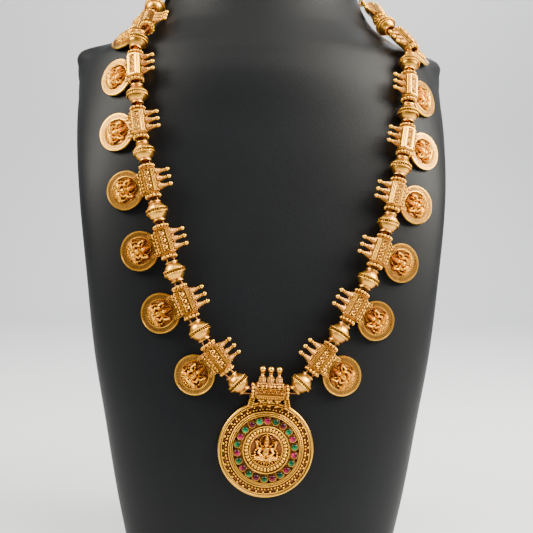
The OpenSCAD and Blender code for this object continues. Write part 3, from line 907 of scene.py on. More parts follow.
def coin_disc():
    """The coin, its face towards +z: rim, radial reeds, wire ring and the seated figure."""
    r = COIN_R
    # the field round the figure and the ring of small grains are painted darker as shade
    shapes = [
        coin_plate(),
        grown(RIBS, Count=72, Radius=r - 2.15, Size=(1.6, 0.38, 0.7)).at(0, 0, 0.52),
        wire_ring(r - 1.15, 0.42, 72, 6, 0.74),
        relief(r - 3.75, 15.4, 2.7, 84, 0.35, 0.75, turned_round=True),
        grains(ring_places(r - 4.2, 44, 0.8, 0.3), 1).with_painted_light(0.8),
    ]
    low = []
    for k in range(13):
        a = math.radians(90 + (k - 6) * 10.5)
        low.append((7.1 * math.cos(a), 7.1 * math.sin(a), 0.5, 1.15))
    shapes.append(grains(low))
    return joined(shapes)


def strap_height(x, y):
    """Cast work on a strap: three round whorls with grains between them."""
    h = [whorl(x, y, c, 0, 1.75, 0.95) for c in (-3.8, 0, 3.8)]
    for c in (-5.65, -1.9, 1.9, 5.65):
        h += [dot(x, y, c, s * 1.2, 0.52, 0.6) for s in (-1, 1)]
        h.append(dot(x, y, c, 0, 0.3, 0.4))
    return 4.05, np.max(h, 0)


def cheek(m):
    """Sloped cheek beside the strap panel, on one side."""
    top = [[-6.4, m * 2.5, 4.1], [6.4, m * 2.5, 4.1], [6.4, m * 4.55, 1.4], [-6.4, m * 4.55, 1.4]]
    low = np.array(top) * np.array([1, 0.8, 1]) - np.array([0, 0, 1.4])
    faces = [[0, 1, 2, 3], [4, 7, 6, 5], [0, 4, 5, 1], [1, 5, 6, 2], [2, 6, 7, 3], [3, 7, 4, 0]]
    s = Shape(np.concatenate([top, low]), faces)
    if m < 0:
        s.q = s.q[:, ::-1]
    # the cheek is painted a little darker as shade
    return fine(s).with_painted_light(0.8)


def coin_strap():
    """Strap panel with two plain frames and cast work, and its cheeks with wires and grains."""
    shapes = [fine(block((-6.5, -2.6, 1.0), (6.5, 2.6, 4.2), 0.25))]
    shapes.append(frame_wire(6.3, 2.4, 0.6, 4.42))
    shapes.append(frame_wire(5.8, 1.86, 0.4, 4.36))
    shapes.append(panel(5.9, 1.8, 0.24, strap_height, 0.5))
    for m in (-1, 1):
        shapes.append(cheek(m))
        shapes.append(bar_wire(6.4, m * 3.02, 3.65, 0.5))
    shapes.append(bar_wire(6.3, -3.6, 2.95, 0.6))
    shapes.append(grain_row(6.0, 17, -4.2, 2.15, 0.7))
    shapes.append(grain_row(5.7, 7, 3.8, 2.95, 1.2, 2))
    shapes.append(grain_row(5.2, 12, 4.45, 2.1, 0.7))
    return shapes


# Places of the three finials and posts along a barrel
COIN_POSTS, BAIL_POSTS = (-4.25, 0, 4.25), (-4.5, 0, 4.5)


def coin_finials():
    """Flange and three finials on the inner side."""
    shapes = [fine(block((-6.1, -5.5, -0.1), (6.1, -3.0, 1.4), 0.3))]
    shapes.append(grain_row(5.9, 17, -5.4, 1.1, 0.66))
    for x in COIN_POSTS:
        stand = shift(x, 0, 0.75) @ turn_about("X", 90)
        shapes.append(finial(4.6, 12.4, 2.45, 3.5).moved(stand))
    return shapes


def coin_posts():
    """Posts with paired grains, and two bars, on the coin's side."""
    # the bar under the posts is painted darker as shade
    shapes = [fine(block((-6.1, 3.0, -0.2), (6.1, 4.7, 1.2), 0.3)).with_painted_light(0.7)]
    for x in COIN_POSTS:
        shapes.append(fine(block((x - 0.55, 3.6, -0.9), (x + 0.55, 5.9, 0.9), 0.15)))
        shapes.append(block((x - 1.15, 5.2, -0.2), (x + 1.15, 5.75, 0.7), 0.12))
        shapes += [ball(1.35, 8, 10).at(x + m * 0.78, 5.65, 1.0) for m in (-1, 1)]
    tilt = shift(0, 3.0, -3.4) @ turn_about("X", -COIN_TILT - 6)
    for m in (-1, 1):
        x = m * 5.4
        # the legs are painted a little darker as shade
        shapes.append(fine(block((x - 1.1, 0, 0), (x + 1.1, 6.2, 2.5), 0.3)).with_painted_light(0.75).moved(tilt))
        shapes.append(wire([(x, 0.6, 2.5), (x, 6.0, 2.5)], 0.6).moved(tilt))
        beads = [(x + s * 0.8, 1.2 + 0.95 * k, 2.45, 0.85) for s in (-1, 1) for k in range(5)]
        shapes.append(grains(beads, 1).moved(tilt))
    return shapes


def coin_piece():
    """Barrel, strap panel, finials, posts and coin of one coin piece."""
    shapes = barrel(BARREL_LEN / 2, 4.0, BARREL_BORE, 2.9, 4.6, 1.75, 13)
    shapes += coin_strap() + coin_finials() + coin_posts()
    hang = shift(0, COIN_REACH, COIN_Z) @ turn_about("X", -COIN_TILT)
    shapes.append(coin_disc().moved(hang))
    return joined(shapes)


def bead():
    """A hollow bead: collars, smooth bulges and a twisted double flange round its middle."""
    h = BEAD_LEN / 2
    side = [
        (BEAD_BORE, h - 0.1), (3.25, h - 0.02), (3.5, h - 0.12), (3.58, h - 0.42), (3.5, h - 0.7),
        (3.2, h - 0.84), (3.08, h - 1.0), (3.05, h - 1.25), (3.14, h - 1.42),
    ]
    side += [(5.35 * math.cos(a), 5.35 * math.sin(a)) for a in np.radians((51, 46, 41, 36, 30, 24, 18, 14))]
    side += [(5.6, 1.15), (5.6, 0.7), (5.1, 0.45)]
    outline = [(r, -x) for r, x in side] + side[::-1]
    shell = lathe(outline, 48)
    # painted shade in the groove round the middle, and the smooth bulges painted a little darker
    shell.clean = np.where(abs(shell.p[:, 2]) < 0.8, 0.25, 0.84)
    shapes = [shell, lathe([(BEAD_BORE, h - 0.1), (BEAD_BORE, -h + 0.1)], 24)]
    for z in (-0.98, 0.98):
        shapes.append(twisted(5.78, 0.86, 32, z, 6))
    # the grains in the groove are painted a little darker as shade
    shapes.append(grains(ring_places(5.5, 28, 0.86, 0.0), 1).with_painted_light(0.9))
    s = joined(shapes)
    return Shape(s.p[:, [2, 0, 1]], s.q, s.t, s.clean)


# Triangles of grains and petals round the disc
TRIANGLES, PETALS = 38, 38


def disc_plate():
    """The disc's own turned body, with painted shade in its outer band and a little on the bed of the
    stones.
    """
    r, bed = DISC_R, GEM_BED
    rim = [
        (0.02, 0), (r - 0.6, 0), (r - 0.15, 0.2), (r, 0.6), (r, 1.7), (r - 0.15, 2.15),
        (r - 0.5, 2.4), (r - 0.95, 2.4), (r - 1.3, 2.15), (r - 1.42, 1.8), (r - 1.5, 1.5),
    ]
    band = [
        (r - 2.4, 1.45), (r - 2.5, 1.5), (r - 3.4, 1.55), (r - 4.3, 1.6), (r - 5.2, 1.7),
        (r - 5.35, 2.2), (r - 5.5, 2.6), (r - 6.45, 2.75), (r - 7.5, 3.0), (r - 7.6, bed - 0.3),
    ]
    gem_bed = [(far, bed - 0.6) for far in (r - 7.7, 17.0, 15.6, 14.2, 12.95)]
    inner = [
        (12.85, bed + 0.5), (12.6, bed + 0.75), (12.2, bed + 0.7), (12.05, bed + 0.3),
        (10.7, bed + 0.45), (9.4, bed + 0.3), (9.3, bed + 0.65), (8.5, bed + 0.6),
        (8.4, bed + 0.1), (8.3, bed - 0.1),
    ]
    plate = lathe(rim + band + gem_bed + inner, 128)
    far = np.hypot(plate.p[:, 0], plate.p[:, 1])
    in_band = (far > r - 5.3) & (far < r - 1.45)
    plate.clean = np.where(in_band, 0.5, np.where((far > 12.9) & (far < 18.2), 0.9, 1.0))
    return plate


def disc_wires():
    """Twisted and plain wires between the disc's bands, from the rim inward."""
    r, bed = DISC_R, GEM_BED
    return [
        twisted(r - 1.98, 0.95, 140, 1.95, 5),
        twisted(r - 5.95, 0.95, 120, 2.95, 5),
        twisted(r - 7.0, 0.95, 112, 3.25, 5),
        wire_ring(r - 7.75, 0.5, 96, 8, bed + 0.05),
        wire_ring(12.5, 0.8, 96, 8, bed + 0.9),
        twisted(8.9, 0.9, 34, bed + 0.85),
        wire_ring(9.55, 0.4, 80, 6, bed + 0.65),
    ]


def round_disc(reach, a, z, size):
    """Place of a grain on the disc, at an angle from its top."""
    return (reach * math.sin(a), reach * math.cos(a), z, size)


def disc_grains():
    """Triangles of three grains, a grain outside each petal and one inside each pair of stones."""
    places = []
    for k in range(TRIANGLES):
        a = 2 * math.pi * k / TRIANGLES
        places.append(round_disc(23.1, a, 2.0, 1.3))
        places += [round_disc(21.55, a + m * 0.036, 2.15, 1.25) for m in (-1, 1)]
    for k in range(PETALS):
        places.append(round_disc(11.85, 2 * math.pi * (k + 0.5) / PETALS, GEM_BED + 0.5, 0.65))
    for k in range(STONES):
        places.append(round_disc(13.65, 2 * math.pi * (k + 0.5) / STONES, GEM_BED - 0.3, 0.75))
    return grains(places)


def painted_shade_of_drilled_dots():
    """Flat discs painted fully dark as the shade of drilled dots outside the stones."""
    hole = lathe([(0.58, GEM_BED - 0.55), (0.02, GEM_BED - 0.56)], 8).with_painted_light(0.0)
    angles = [2 * math.pi * (k + 0.5) / STONES for k in range(STONES)]
    return [hole.at(17.45 * math.sin(a), 17.45 * math.cos(a), 0) for a in angles]


def disc_petals():
    """Petals of the inner band."""
    petal = ball(1.0, 8, 10)
    petal = Shape(petal.p * np.array([1.64, 2.4, 1.6]), petal.q)
    out = shift(0, 10.7, GEM_BED + 0.6)
    return [petal.moved(turn_about("Z", -360 * k / PETALS) @ out) for k in range(PETALS)]


def collets():
    """Collars that hold the stones."""
    q = STONE_D / 2
    wall = [(0.36, -0.7), (0.34, 0.15), (0.22, 0.42), (0.08, 0.46), (0.02, 0.3), (0.02, -0.7)]
    collet = lathe([(q + a, GEM_BED + b) for a, b in wall], 24)
    out = shift(0, STONE_RING, 0)
    return [collet.moved(turn_about("Z", 360 * k / STONES) @ out) for k in range(STONES)]


def pendant_disc():
    """The large disc, its face towards +z, from its back at z = 0."""
    shapes = [disc_plate()] + disc_wires() + painted_shade_of_drilled_dots() + [disc_grains()]
    shapes += disc_petals() + collets()
    shapes.append(relief(8.45, 17.0, 2.7, 150, 0.5, 0.5).at(0, 0, GEM_BED + 0.25))
    return joined(shapes)


def bail_height(x, y):
    """Cast work on the bail: hatched lozenges, wires, a row of whorls and a row of grains."""
    h = [0 * x]
    for c in (-6.75, -4.5, -2.25, 0, 2.25, 4.5, 6.75):
        wide = 1.75 if abs(c) in (0, 4.5) else 0.7
        d = abs(x - c) / wide + abs(y - 2.85) / 0.95
        hatch = 0.78 + 0.22 * np.cos(7.5 * (x - c + y)) * np.cos(7.5 * (x - c - y))
        h.append(0.7 * np.clip(1.25 - d, 0, 0.6) / 0.6 * hatch)
    for k in range(6):
        h.append(whorl(x, y, (k - 2.5) * 2.36, 0.05, 1.15, 1.25))
    for k in range(7):
        h += [dot(x, y, (k - 3) * 2.36, 0.05 + s * 0.85, 0.36, 0.55) for s in (-1, 1)]
    for row, r, high in ((1.62, 0.28, 0.55), (-1.5, 0.28, 0.5), (-2.32, 0.46, 0.85)):
        h.append(high * np.sqrt(np.clip(1 - ((y - row) / r) ** 2, 0, None)))
    for k in range(14):
        h.append(hump(x, y, (k - 6.5) * 1.06, -3.22, 0.52, 0.5, 0.8))
    return 3.6 - 0.05 * y * y, np.max(h, 0)


def bail_front():
    """The bail's front with its cast work, and the flange and finials above it."""
    shapes = [fine(block((-7.3, -3.4, 0.5), (7.3, 3.4, 3.1), 0.3))]
    shapes.append(fine(block((-7.3, 2.2, -0.9), (7.3, 4.7, 1.6), 0.3)))
    shapes.append(panel(7.3, 3.7, 0.19, bail_height))
    shapes.append(grain_row(6.6, 15, 4.6, 0.9, 0.8))
    shapes.append(grain_row(6.8, 17, 4.05, 2.1, 0.8))
    for x in BAIL_POSTS:
        stand = shift(x, 0, 0) @ turn_about("X", -90)
        shapes.append(finial(4.4, 13.4, 3.4, 4.1, 40, 0.85).moved(stand))
    return shapes


def bail_posts():
    """Posts and cheeks from the bail down to the disc."""
    turned = [
        (0.62, -8.6), (1.1, -8.2), (1.15, -7.7), (0.62, -7.1), (0.5, -6.4), (0.75, -5.7),
        (1.15, -5.3), (1.2, -4.9), (0.5, -4.4), (0.4, -3.2),
    ]
    stem = lathe(turned, 16)
    stem = Shape(stem.p[:, [1, 2, 0]], stem.q)
    shapes = []
    for x in BAIL_POSTS:
        shapes.append(stem.at(x, 0, -1.6))
        # the blocks under the posts are painted darker as shade
        shapes.append(fine(block((x - 0.8, -8, -4.8), (x + 0.8, -3.2, -1.4), 0.2)).with_painted_light(0.6))
        shapes += [ball(1.6).at(x + m * 0.98, -4.75, 0.3) for m in (-1, 1)]
    shapes.append(bar_wire(7.0, -4.0, 1.2, 0.7))
    for m in (-1, 1):
        place = shift(m * 8.8, -2, -4) @ turn_about("Z", m * 12)
        # the cheeks are painted a little darker as shade
        shapes.append(fine(block((-1.4, -7, 0), (1.4, 1, 4.3), 0.4)).with_painted_light(0.8).moved(place))
        beads = [(s * 0.95, -6.4 + 1.15 * k, 4.25, 1.15) for s in (-1, 1) for k in range(6)]
        shapes.append(grains(beads).moved(place))
        shapes.append(wire([(0, y, 4.3) for y in np.linspace(-6.8, 0.8, 6)], 0.6).moved(place))
    return shapes


def main_pendant():
    """Barrel, bail, posts and disc of the pendant."""
    shapes = barrel(BAIL_LEN / 2, 3.85, BAIL_BORE, 2.6, 4.35, 1.9, 12)
    shapes += bail_front() + bail_posts()
    shapes.append(pendant_disc().moved(shift(0, -PENDANT_DROP, DISC_BACK)))
    return joined(shapes)


# Materials
def start_material(name):
    """A new material, its tree and its surface."""
    material = bpy.data.materials.new(name)
    material.use_nodes = True
    tree = material.node_tree
    tree.nodes.clear()
    body = tree.nodes.new("ShaderNodeBsdfPrincipled")
    added(tree, "ShaderNodeOutputMaterial", Surface=body.outputs["BSDF"])
    return material, tree, body


def object_place(tree):
    """Where on the piece a point of its surface is."""
    return tree.nodes.new("ShaderNodeTexCoord").outputs["Object"]


def patches(tree, scale, detail=2):
    """Uneven patches over the piece, from 0 to 1."""
    place = object_place(tree)
    noise = added(tree, "ShaderNodeTexNoise", Vector=place, Scale=scale, Detail=detail)
    return noise.outputs["Fac"]


def spread(tree, value, start, end, low=0.0, high=1.0):
    """A value from low to high spread over a range from start to end."""
    node = added(tree, "ShaderNodeMapRange", Value=value, From_Min=low, From_Max=high)
    return fitted(tree, node, To_Min=start, To_Max=end).outputs["Result"]


def coloured(tree, value, stops):
    """Colours for a value, from rows of level and colour."""
    node = added(tree, "ShaderNodeValToRGB", Fac=value)
    ramp = node.color_ramp
    while len(ramp.elements) > 1:
        ramp.elements.remove(ramp.elements[-1])
    ramp.elements[0].position, ramp.elements[0].color = stops[0][0], (*stops[0][1], 1)
    for position, colour in stops[1:]:
        ramp.elements.new(position).color = (*colour, 1)
    return node.outputs["Color"]


def bumped(tree, height, strength, distance, **under):
    """Fine relief that only the light sees, over another if given; the distance is in metres."""
    bump = added(tree, "ShaderNodeBump", Height=height, Strength=strength, Distance=distance, **under)
    return bump.outputs["Normal"]


def open_value(tree):
    """How open each point is, which sets the painted shade of the gold, or for a stone how bright its
    painted glow is.
    """
    node = tree.nodes.new("ShaderNodeAttribute")
    node.attribute_name = "open"
    return node.outputs["Fac"]


# Colours of the gold from closed in to open: the dark browns are partly patina and partly painted shade
GOLD_TONES = [
    (0.2, (0.036, 0.009, 0.004)), (0.46, (0.24, 0.084, 0.03)),
    (0.7, (0.58, 0.262, 0.05)), (0.96, (0.86, 0.44, 0.036)),
]
LEATHER_TONES = [(0.3, (0.0012, 0.0017, 0.0025)), (0.7, (0.0023, 0.0031, 0.0043))]


def gold(name, rough=0.31):
    """Satin antique gold, brown in its recesses, partly as patina and partly as painted shade."""
    material, tree, body = start_material(name)
    # how open a place is, a little uneven; where it is closed in, shade is painted into the colour
    uneven = worked_out(tree, "MULTIPLY_ADD", patches(tree, 160, 4), 0.3, open_value(tree))
    level = worked_out(tree, "SUBTRACT", uneven, 0.15)
    tint = added(tree, "ShaderNodeVectorMath")
    tint.operation = "SCALE"
    fitted(tree, tint, Vector=coloured(tree, level, GOLD_TONES))
    fitted(tree, tint, Scale=spread(tree, patches(tree, 45), 0.86, 1.1))
    fitted(tree, body, Metallic=1.0, Base_Color=tint.outputs["Vector"])
    # rougher where it is dark, with a cast skin
    fitted(tree, body, Roughness=spread(tree, level, rough + 0.25, rough, 0.1, 0.9))
    fitted(tree, body, Normal=bumped(tree, patches(tree, 1900, 3), 0.35, 0.00012))
    return material


def stone(name, dark, mid, bright):
    """A domed stone with a painted glow on the side away from the light, shown in its colour and given off
    as emission.
    """
    material, tree, body = start_material(name)
    cloud_and_painted_glow = worked_out(tree, "MULTIPLY_ADD", patches(tree, 500), 0.35, open_value(tree))
    colour = coloured(tree, cloud_and_painted_glow, [(0.2, dark), (0.6, mid), (1.0, bright)])
    # the painted glow sets both the colour and an emission, though the stone is no lamp
    fitted(tree, body, Base_Color=colour, Emission_Color=colour, Emission_Strength=0.42)
    fitted(tree, body, Roughness=spread(tree, patches(tree, 1400), 0.02, 0.08), Specular_IOR_Level=0.2)
    return material


def leatherette():
    """Black matt leatherette with a fine pebbled grain."""
    material, tree, body = start_material("black_leatherette")
    cells = added(tree, "ShaderNodeTexVoronoi", Vector=object_place(tree), Scale=1150)
    cells.feature = "DISTANCE_TO_EDGE"
    grain, wide = patches(tree, 900, 3), patches(tree, 14, 3)
    high = worked_out(tree, "MULTIPLY_ADD", grain, 0.5, cells.outputs["Distance"])
    pebbles = bumped(tree, high, 0.3, 0.00025)
    fitted(tree, body, Normal=bumped(tree, wide, 0.25, 0.0012, Normal=pebbles))
    fitted(tree, body, Base_Color=coloured(tree, wide, LEATHER_TONES))
    fitted(tree, body, Roughness=spread(tree, grain, 0.46, 0.6), Specular_IOR_Level=0.17)
    return material


GOLD = gold("antique_gold")
CHAIN_GOLD = gold("chain_gold", 0.24)
THREAD_GOLD = gold("gold_thread", 0.42)
RUBY = stone("ruby", (0.016, 0.0, 0.003), (0.085, 0.0004, 0.012), (0.5, 0.001, 0.09))
EMERALD = stone("emerald", (0.0003, 0.01, 0.003), (0.0005, 0.06, 0.017), (0.002, 0.36, 0.12))
LEATHER = leatherette()


# From shape to piece
def normals_of(shape):
    """Way straight out of the shape at each point."""
    normals = np.zeros_like(shape.p)
    for f in (shape.q, shape.t):
        if len(f):
            first, second, third, last = (shape.p[f[:, k]] for k in (0, 1, 2, -1))
            if f.shape[1] == 4:
                n = np.cross(third - first, last - second)
            else:
                n = np.cross(second - first, third - first)
            for k in range(f.shape[1]):
                np.add.at(normals, f[:, k], n)
    return normals / np.maximum(np.linalg.norm(normals, axis=1), 1e-12)[:, None]


def sky_ways(rays):
    """Ways spread evenly over the half of space round +z."""
    golden = math.pi * (3 - math.sqrt(5))
    ways = []
    for k in range(rays):
        z = 0.25 + 0.72 * (k + 0.5) / rays
        r = math.sqrt(1 - z * z)
        ways.append((r * math.cos(k * golden), r * math.sin(k * golden), z))
    return ways


# How far off the surface, in mm, the look at the sky starts
SKY_LIFT = 0.03


def open_sky(shape, reach, rays=12):
    """How much of the space over each point is free, from 0 to 1."""
    faces = [tuple(f) for f in shape.q] + [tuple(f) for f in shape.t]
    tree = BVHTree.FromPolygons([Vector(p) for p in shape.p], faces)
    normals = normals_of(shape)
    side = np.where(abs(normals[:, :1]) < 0.9, np.array([[1.0, 0, 0]]), np.array([[0, 1.0, 0]]))
    u = np.cross(normals, side)
    u /= np.maximum(np.linalg.norm(u, axis=1), 1e-12)[:, None]
    v = np.cross(normals, u)
    start = shape.p + normals * SKY_LIFT
    ways = sky_ways(rays)
    result = np.zeros(len(shape.p))
    for i in range(len(shape.p)):
        total = 0.0
        origin = Vector(start[i])
        for a, b, c in ways:
            way = a * u[i] + b * v[i] + c * normals[i]
            hit = tree.ray_cast(origin, Vector(way), reach)
            total += 1.0 if hit[0] is None else min(1.0, hit[3] / reach)
        result[i] = total / rays
    return result


def piece(name, shape, material, nodes, openness=None, sharp=40):
    """Makes the piece, in metres, riding on the body and standing for its nodes.

    How open it is comes as one number or as one for each point; times each point's painted light, it sets
    the painted shade of the colour.
    """
    mesh = bpy.data.meshes.new(name)
    mesh.vertices.add(len(shape.p))
    mesh.vertices.foreach_set("co", (shape.p * MM).astype(np.float32).ravel())
    corners = np.concatenate([shape.q.ravel(), shape.t.ravel()]).astype(np.int32)
    mesh.loops.add(len(corners))
    mesh.loops.foreach_set("vertex_index", corners)
    quad_starts = np.arange(len(shape.q)) * 4
    starts = np.concatenate([quad_starts, len(shape.q) * 4 + np.arange(len(shape.t)) * 3])
    mesh.polygons.add(len(starts))
    mesh.polygons.foreach_set("loop_start", starts.astype(np.int32))
    mesh.update(calc_edges=True)
    if openness is not None:
        a = mesh.attributes.new("open", "FLOAT", "POINT")
        a.data.foreach_set("value", (openness * shape.clean).astype(np.float32))
    mesh.validate()
    mesh.polygons.foreach_set("use_smooth", np.ones(len(mesh.polygons), bool))
    mesh.set_sharp_from_angle(angle=math.radians(sharp))
    mesh.materials.append(material)
    o = bpy.data.objects.new(name, mesh)
    bpy.context.scene.collection.objects.link(o)
    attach(o, "root")
    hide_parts(*nodes)


def gold_piece(node, shape, openness, material=GOLD, ending="gold"):
    """A gold piece that stands for one node."""
    piece(f"{node}_{ending}", shape, material, [node], openness)


# Coin pieces and beads along both sides
coin_shape, bead_shape = coin_piece(), bead()
coin_open, bead_open = open_sky(coin_shape, 2.2), open_sky(bead_shape, 1.6)
for side, string in STRING.items():
    for k in range(1, COINS + 1):
        place = string.frame(string.piece(2 * k - 1)) @ turn_about("X", -ROLL[side][k - 1])
        gold_piece(f"coin_{side}_{k}", coin_shape.moved(place), coin_open)
        place = string.frame(string.piece(2 * k - 2)) @ turn_about("X", BEAD_TURN * k)
        gold_piece(f"bead_{side}_{k}", bead_shape.moved(place), bead_open)

# The large pendant
pendant_shape = main_pendant()
gold_piece("main_pendant", pendant_shape.moved(hung()), open_sky(pendant_shape, 2.4, 10))

# Stones: height of the side and of the dome over it, and how far the stone is off its seat
GIRDLE, DOME, SEAT_GAP = 0.45, 1.35, 0.15
# Way that the bright side of a stone faces, and how far it strays, in degrees
BRIGHT_WAY, BRIGHT_STRAYS = 215, 50


def stones(first):
    """Domed stones in their collets, with how brightly each point glows."""
    q = STONE_D / 2
    dome = [(q * 0.97, 0.0), (q, GIRDLE)]
    for k in range(1, 10):
        a = k / 9 * math.pi / 2
        dome.append((max(q * math.cos(a), 0.01), GIRDLE + DOME * math.sin(a)))
    shapes, glow = [], []
    rng = np.random.default_rng(7 + first)
    for k in range(first, STONES, 2):
        s = lathe(dome, 28)
        lean = rng.uniform(-BRIGHT_STRAYS, BRIGHT_STRAYS)
        turn = math.radians(BRIGHT_WAY + lean) + 2 * math.pi * k / STONES
        way = np.array([math.sin(turn), math.cos(turn)])
        far = np.hypot(s.p[:, 0], s.p[:, 1]) / q
        # painted glow on the side away from the light, and painted shade towards the rim
        lit = 0.34 + 0.42 * (s.p[:, :2] @ way) / q - 0.3 * far**5 + 0.22 * rng.uniform(-1, 1)
        glow.append(np.clip(lit, 0, 1))
        seat = turn_about("Z", 360 * k / STONES) @ shift(0, STONE_RING, GEM_BED + SEAT_GAP)
        shapes.append(s.moved(seat))
    return joined(shapes), np.concatenate(glow)


on_disc = hung() @ shift(0, -PENDANT_DROP, DISC_BACK)
for name, first, material, slot_name in (("rubies", 0, RUBY, "ruby"), ("emeralds", 1, EMERALD, "emerald")):
    shape, glow = stones(first)
    piece(name + "_cabochons", shape.moved(on_disc), material, [name], glow)

# How open threads, chains and the spring ring count as, all over, which sets their painted shade; the
# threads are painted darkest, as shade in the gaps between pieces
THREAD_OPEN, CHAIN_OPEN, CLASP_OPEN = 0.5, 0.8, 0.85


def thread_points(offset):
    """Ends of the straight runs of a thread, from the last piece on the left to the right."""
    points, last = [], 2 * COINS - 1
    runs = (("left", range(last, -1, -1), (1, -1)), ("right", range(last + 1), (-1, 1)))
    for side, order, ends in runs:
        string = STRING[side]
        for k in order:
            f = string.frame(string.piece(k))
            half = (BEAD_LEN if k % 2 == 0 else BARREL_LEN) / 2
            for m in ends:
                reach = half + (END_IN if k == last and m > 0 else 0)
                points.append(f[:3, 3] - string.sign * m * reach * f[:3, 0] + offset * f[:3, 1])
    return points


for name, offset in (("thread_inner", -THREAD_SIDE), ("thread_outer", THREAD_SIDE)):
    line = thread_points(offset)
    shape = grown(STRAND, line, [(k, k + 1) for k in range(len(line) - 1)], Thickness=THREAD_D)
    gold_piece(name, shape, THREAD_OPEN, THREAD_GOLD)


# End caps, chains and the spring ring
RING_PITCH = 2 * RING_R - RING_WIRE - RING_GAP
CLASP_PITCH = CLASP_R + RING_R - (CLASP_WIRE + RING_WIRE) / 2 - RING_GAP


def ring_frame(string, k):
    """Frame of a chain ring, counted from the clasp; every second one is turned."""
    m = string.frame(string.length - CLASP_PITCH - k * RING_PITCH)
    return m @ turn_about("X", 90) if k % 2 == 0 else m


def chain_rings(frames):
    """A ring of the chain at each frame."""
    ways = [list(Matrix(f[:3, :3].tolist()).to_euler()) for f in frames]
    centres = [f[:3, 3] for f in frames]
    turned = ("way", "FLOAT_VECTOR", ways)
    return grown(LINKS, centres, attribute=turned, Ring_radius=RING_R, Wire=RING_WIRE)


def end_cone(length):
    """The cone of an end cap, its open mouth down, with a twisted wire and a ring of grains."""
    wall = [
        (MOUTH_BORE, 3.0), (MOUTH_BORE, 0.1), (3.75, 0.0), (4.05, 0.15), (4.1, 0.7), (3.95, 1.25),
        (3.65, 1.5), (3.85, 1.8), (3.9, 2.3), (3.7, 2.8), (2.9, length * 0.55),
    ]
    neck = [
        (2.1, length - 2.2), (1.95, length - 1.6), (1.95, length - 1.1), (1.3, length - 0.3),
        (0.9, length), (0.02, length + 0.05),
    ]
    shapes = [lathe(wall + neck, 36), lathe([(MOUTH_BORE, 3.0), (0.02, 3.0)], 36)]
    shapes.append(twisted(3.75, 0.6, 26, 1.55, 6))
    shapes.append(grains(ring_places(3.9, 20, 0.7, 2.15), 1))
    return joined(shapes)


for side, string in STRING.items():
    chain_end = string.length - CLASP_PITCH
    count = int(math.floor((chain_end - string.last_end() - CAP_LEN - RING_R) / RING_PITCH))
    frames = [ring_frame(string, k) for k in range(count + 1)]
    gold_piece(f"chain_{side}", chain_rings(frames[:-1]), CHAIN_OPEN, CHAIN_GOLD, "links")
    # the end cap reaches from the last coin piece to its own ring
    start = string.last_end() + CAP_GAP
    cone = string.length - CLASP_PITCH - count * RING_PITCH - RING_R - start + RING_WIRE / 2
    stand = string.frame(start + cone / 2) @ turn_about("Y", -string.sign * 90) @ shift(0, 0, -cone / 2)
    shape = joined([end_cone(cone).moved(stand), chain_rings(frames[-1:])])
    gold_piece(f"end_cap_{side}", shape, open_sky(shape, 1.5))


def spring_ring():
    """The clasp: a ring, a collared sleeve on it and its small knob."""
    sleeve = [
        (0.02, -1.25), (0.95, -1.2), (1.15, -0.9), (0.95, -0.4),
        (0.95, 0.4), (1.15, 0.9), (0.95, 1.2), (0.02, 1.25),
    ]
    shapes = [wire_ring(CLASP_R, CLASP_WIRE, 64, 14)]
    shapes.append(lathe(sleeve, 20, "x").at(0, CLASP_R, 0))
    shapes.append(ball(0.9).at(2.2, CLASP_R - 1.0, 0.75))
    return joined(shapes)


last = STRING["right"]
shape = spring_ring().moved(last.frame(last.length))
gold_piece("spring_ring", shape, CLASP_OPEN, CHAIN_GOLD)


# The bust: first height, last height and step of the rows of its mesh
BUST_ROWS = [
    (6, 264, 4.0), (264, 292, 2.0), (292, 305, 0.8), (305, 335, 1.5), (335, 383, 3.0),
]
BUST_TURNS = 144
# Height of the rounded lower edge and how far it draws in
FOOT_RISE, FOOT_IN = 3.0, 1.6
# Rings of the lid: share of the top's width, and height
LID_Z = BUST_TOP - 0.6
BUST_LID = [(0.97, BUST_TOP), (0.9, BUST_TOP), (0.88, LID_Z), (0.4, LID_Z), (0.02, LID_Z)]


def bust_shape():
    """The bust's cover, folded in over the board below and the lid above."""
    levels = [0.6, 1.4, 3.0]
    for start, end, step in BUST_ROWS:
        levels += list(np.arange(start, end, step))
    levels += [383.5, 384.6]
    angles = np.arange(BUST_TURNS) * 360 / BUST_TURNS - 180
    rings = []
    for z in levels:
        ring = np.array([cover(t, z) for t in angles])
        inset = FOOT_IN * max(0.0, (FOOT_RISE - z) / FOOT_RISE) ** 2
        if inset:
            ring[:, :2] -= inset * ring[:, :2] / np.linalg.norm(ring[:, :2], axis=1)[:, None]
        rings.append(ring)
    under = rings[0].copy()
    under[:, :2] *= 0.93
    under[:, 2] = 0.0
    middle = np.array([0.0, np.mean(under[:, 1]), 0.0])
    top = rings[-1]
    centre = np.array([0.0, top[:, 1].mean(), BUST_TOP])
    lid = []
    for share, z in BUST_LID:
        ring = centre + (top - centre) * share
        ring[:, 2] = z
        lid.append(ring)
    small = middle + (under - middle) * 0.02
    rows = [small, under] + rings + lid
    return Shape(np.concatenate(rows), net(len(rows), BUST_TURNS))


piece("bust_leatherette", bust_shape(), LEATHER, ["bust"], sharp=60)


# Stage, lights and camera. The sweep: its front, its rear wall, the bend between floor and
# wall, its height and its half width
SWEEP_FRONT, SWEEP_REAR, SWEEP_BEND = -2200, 1600, 400
SWEEP_TOP, SWEEP_SIDE = 2400, 2400


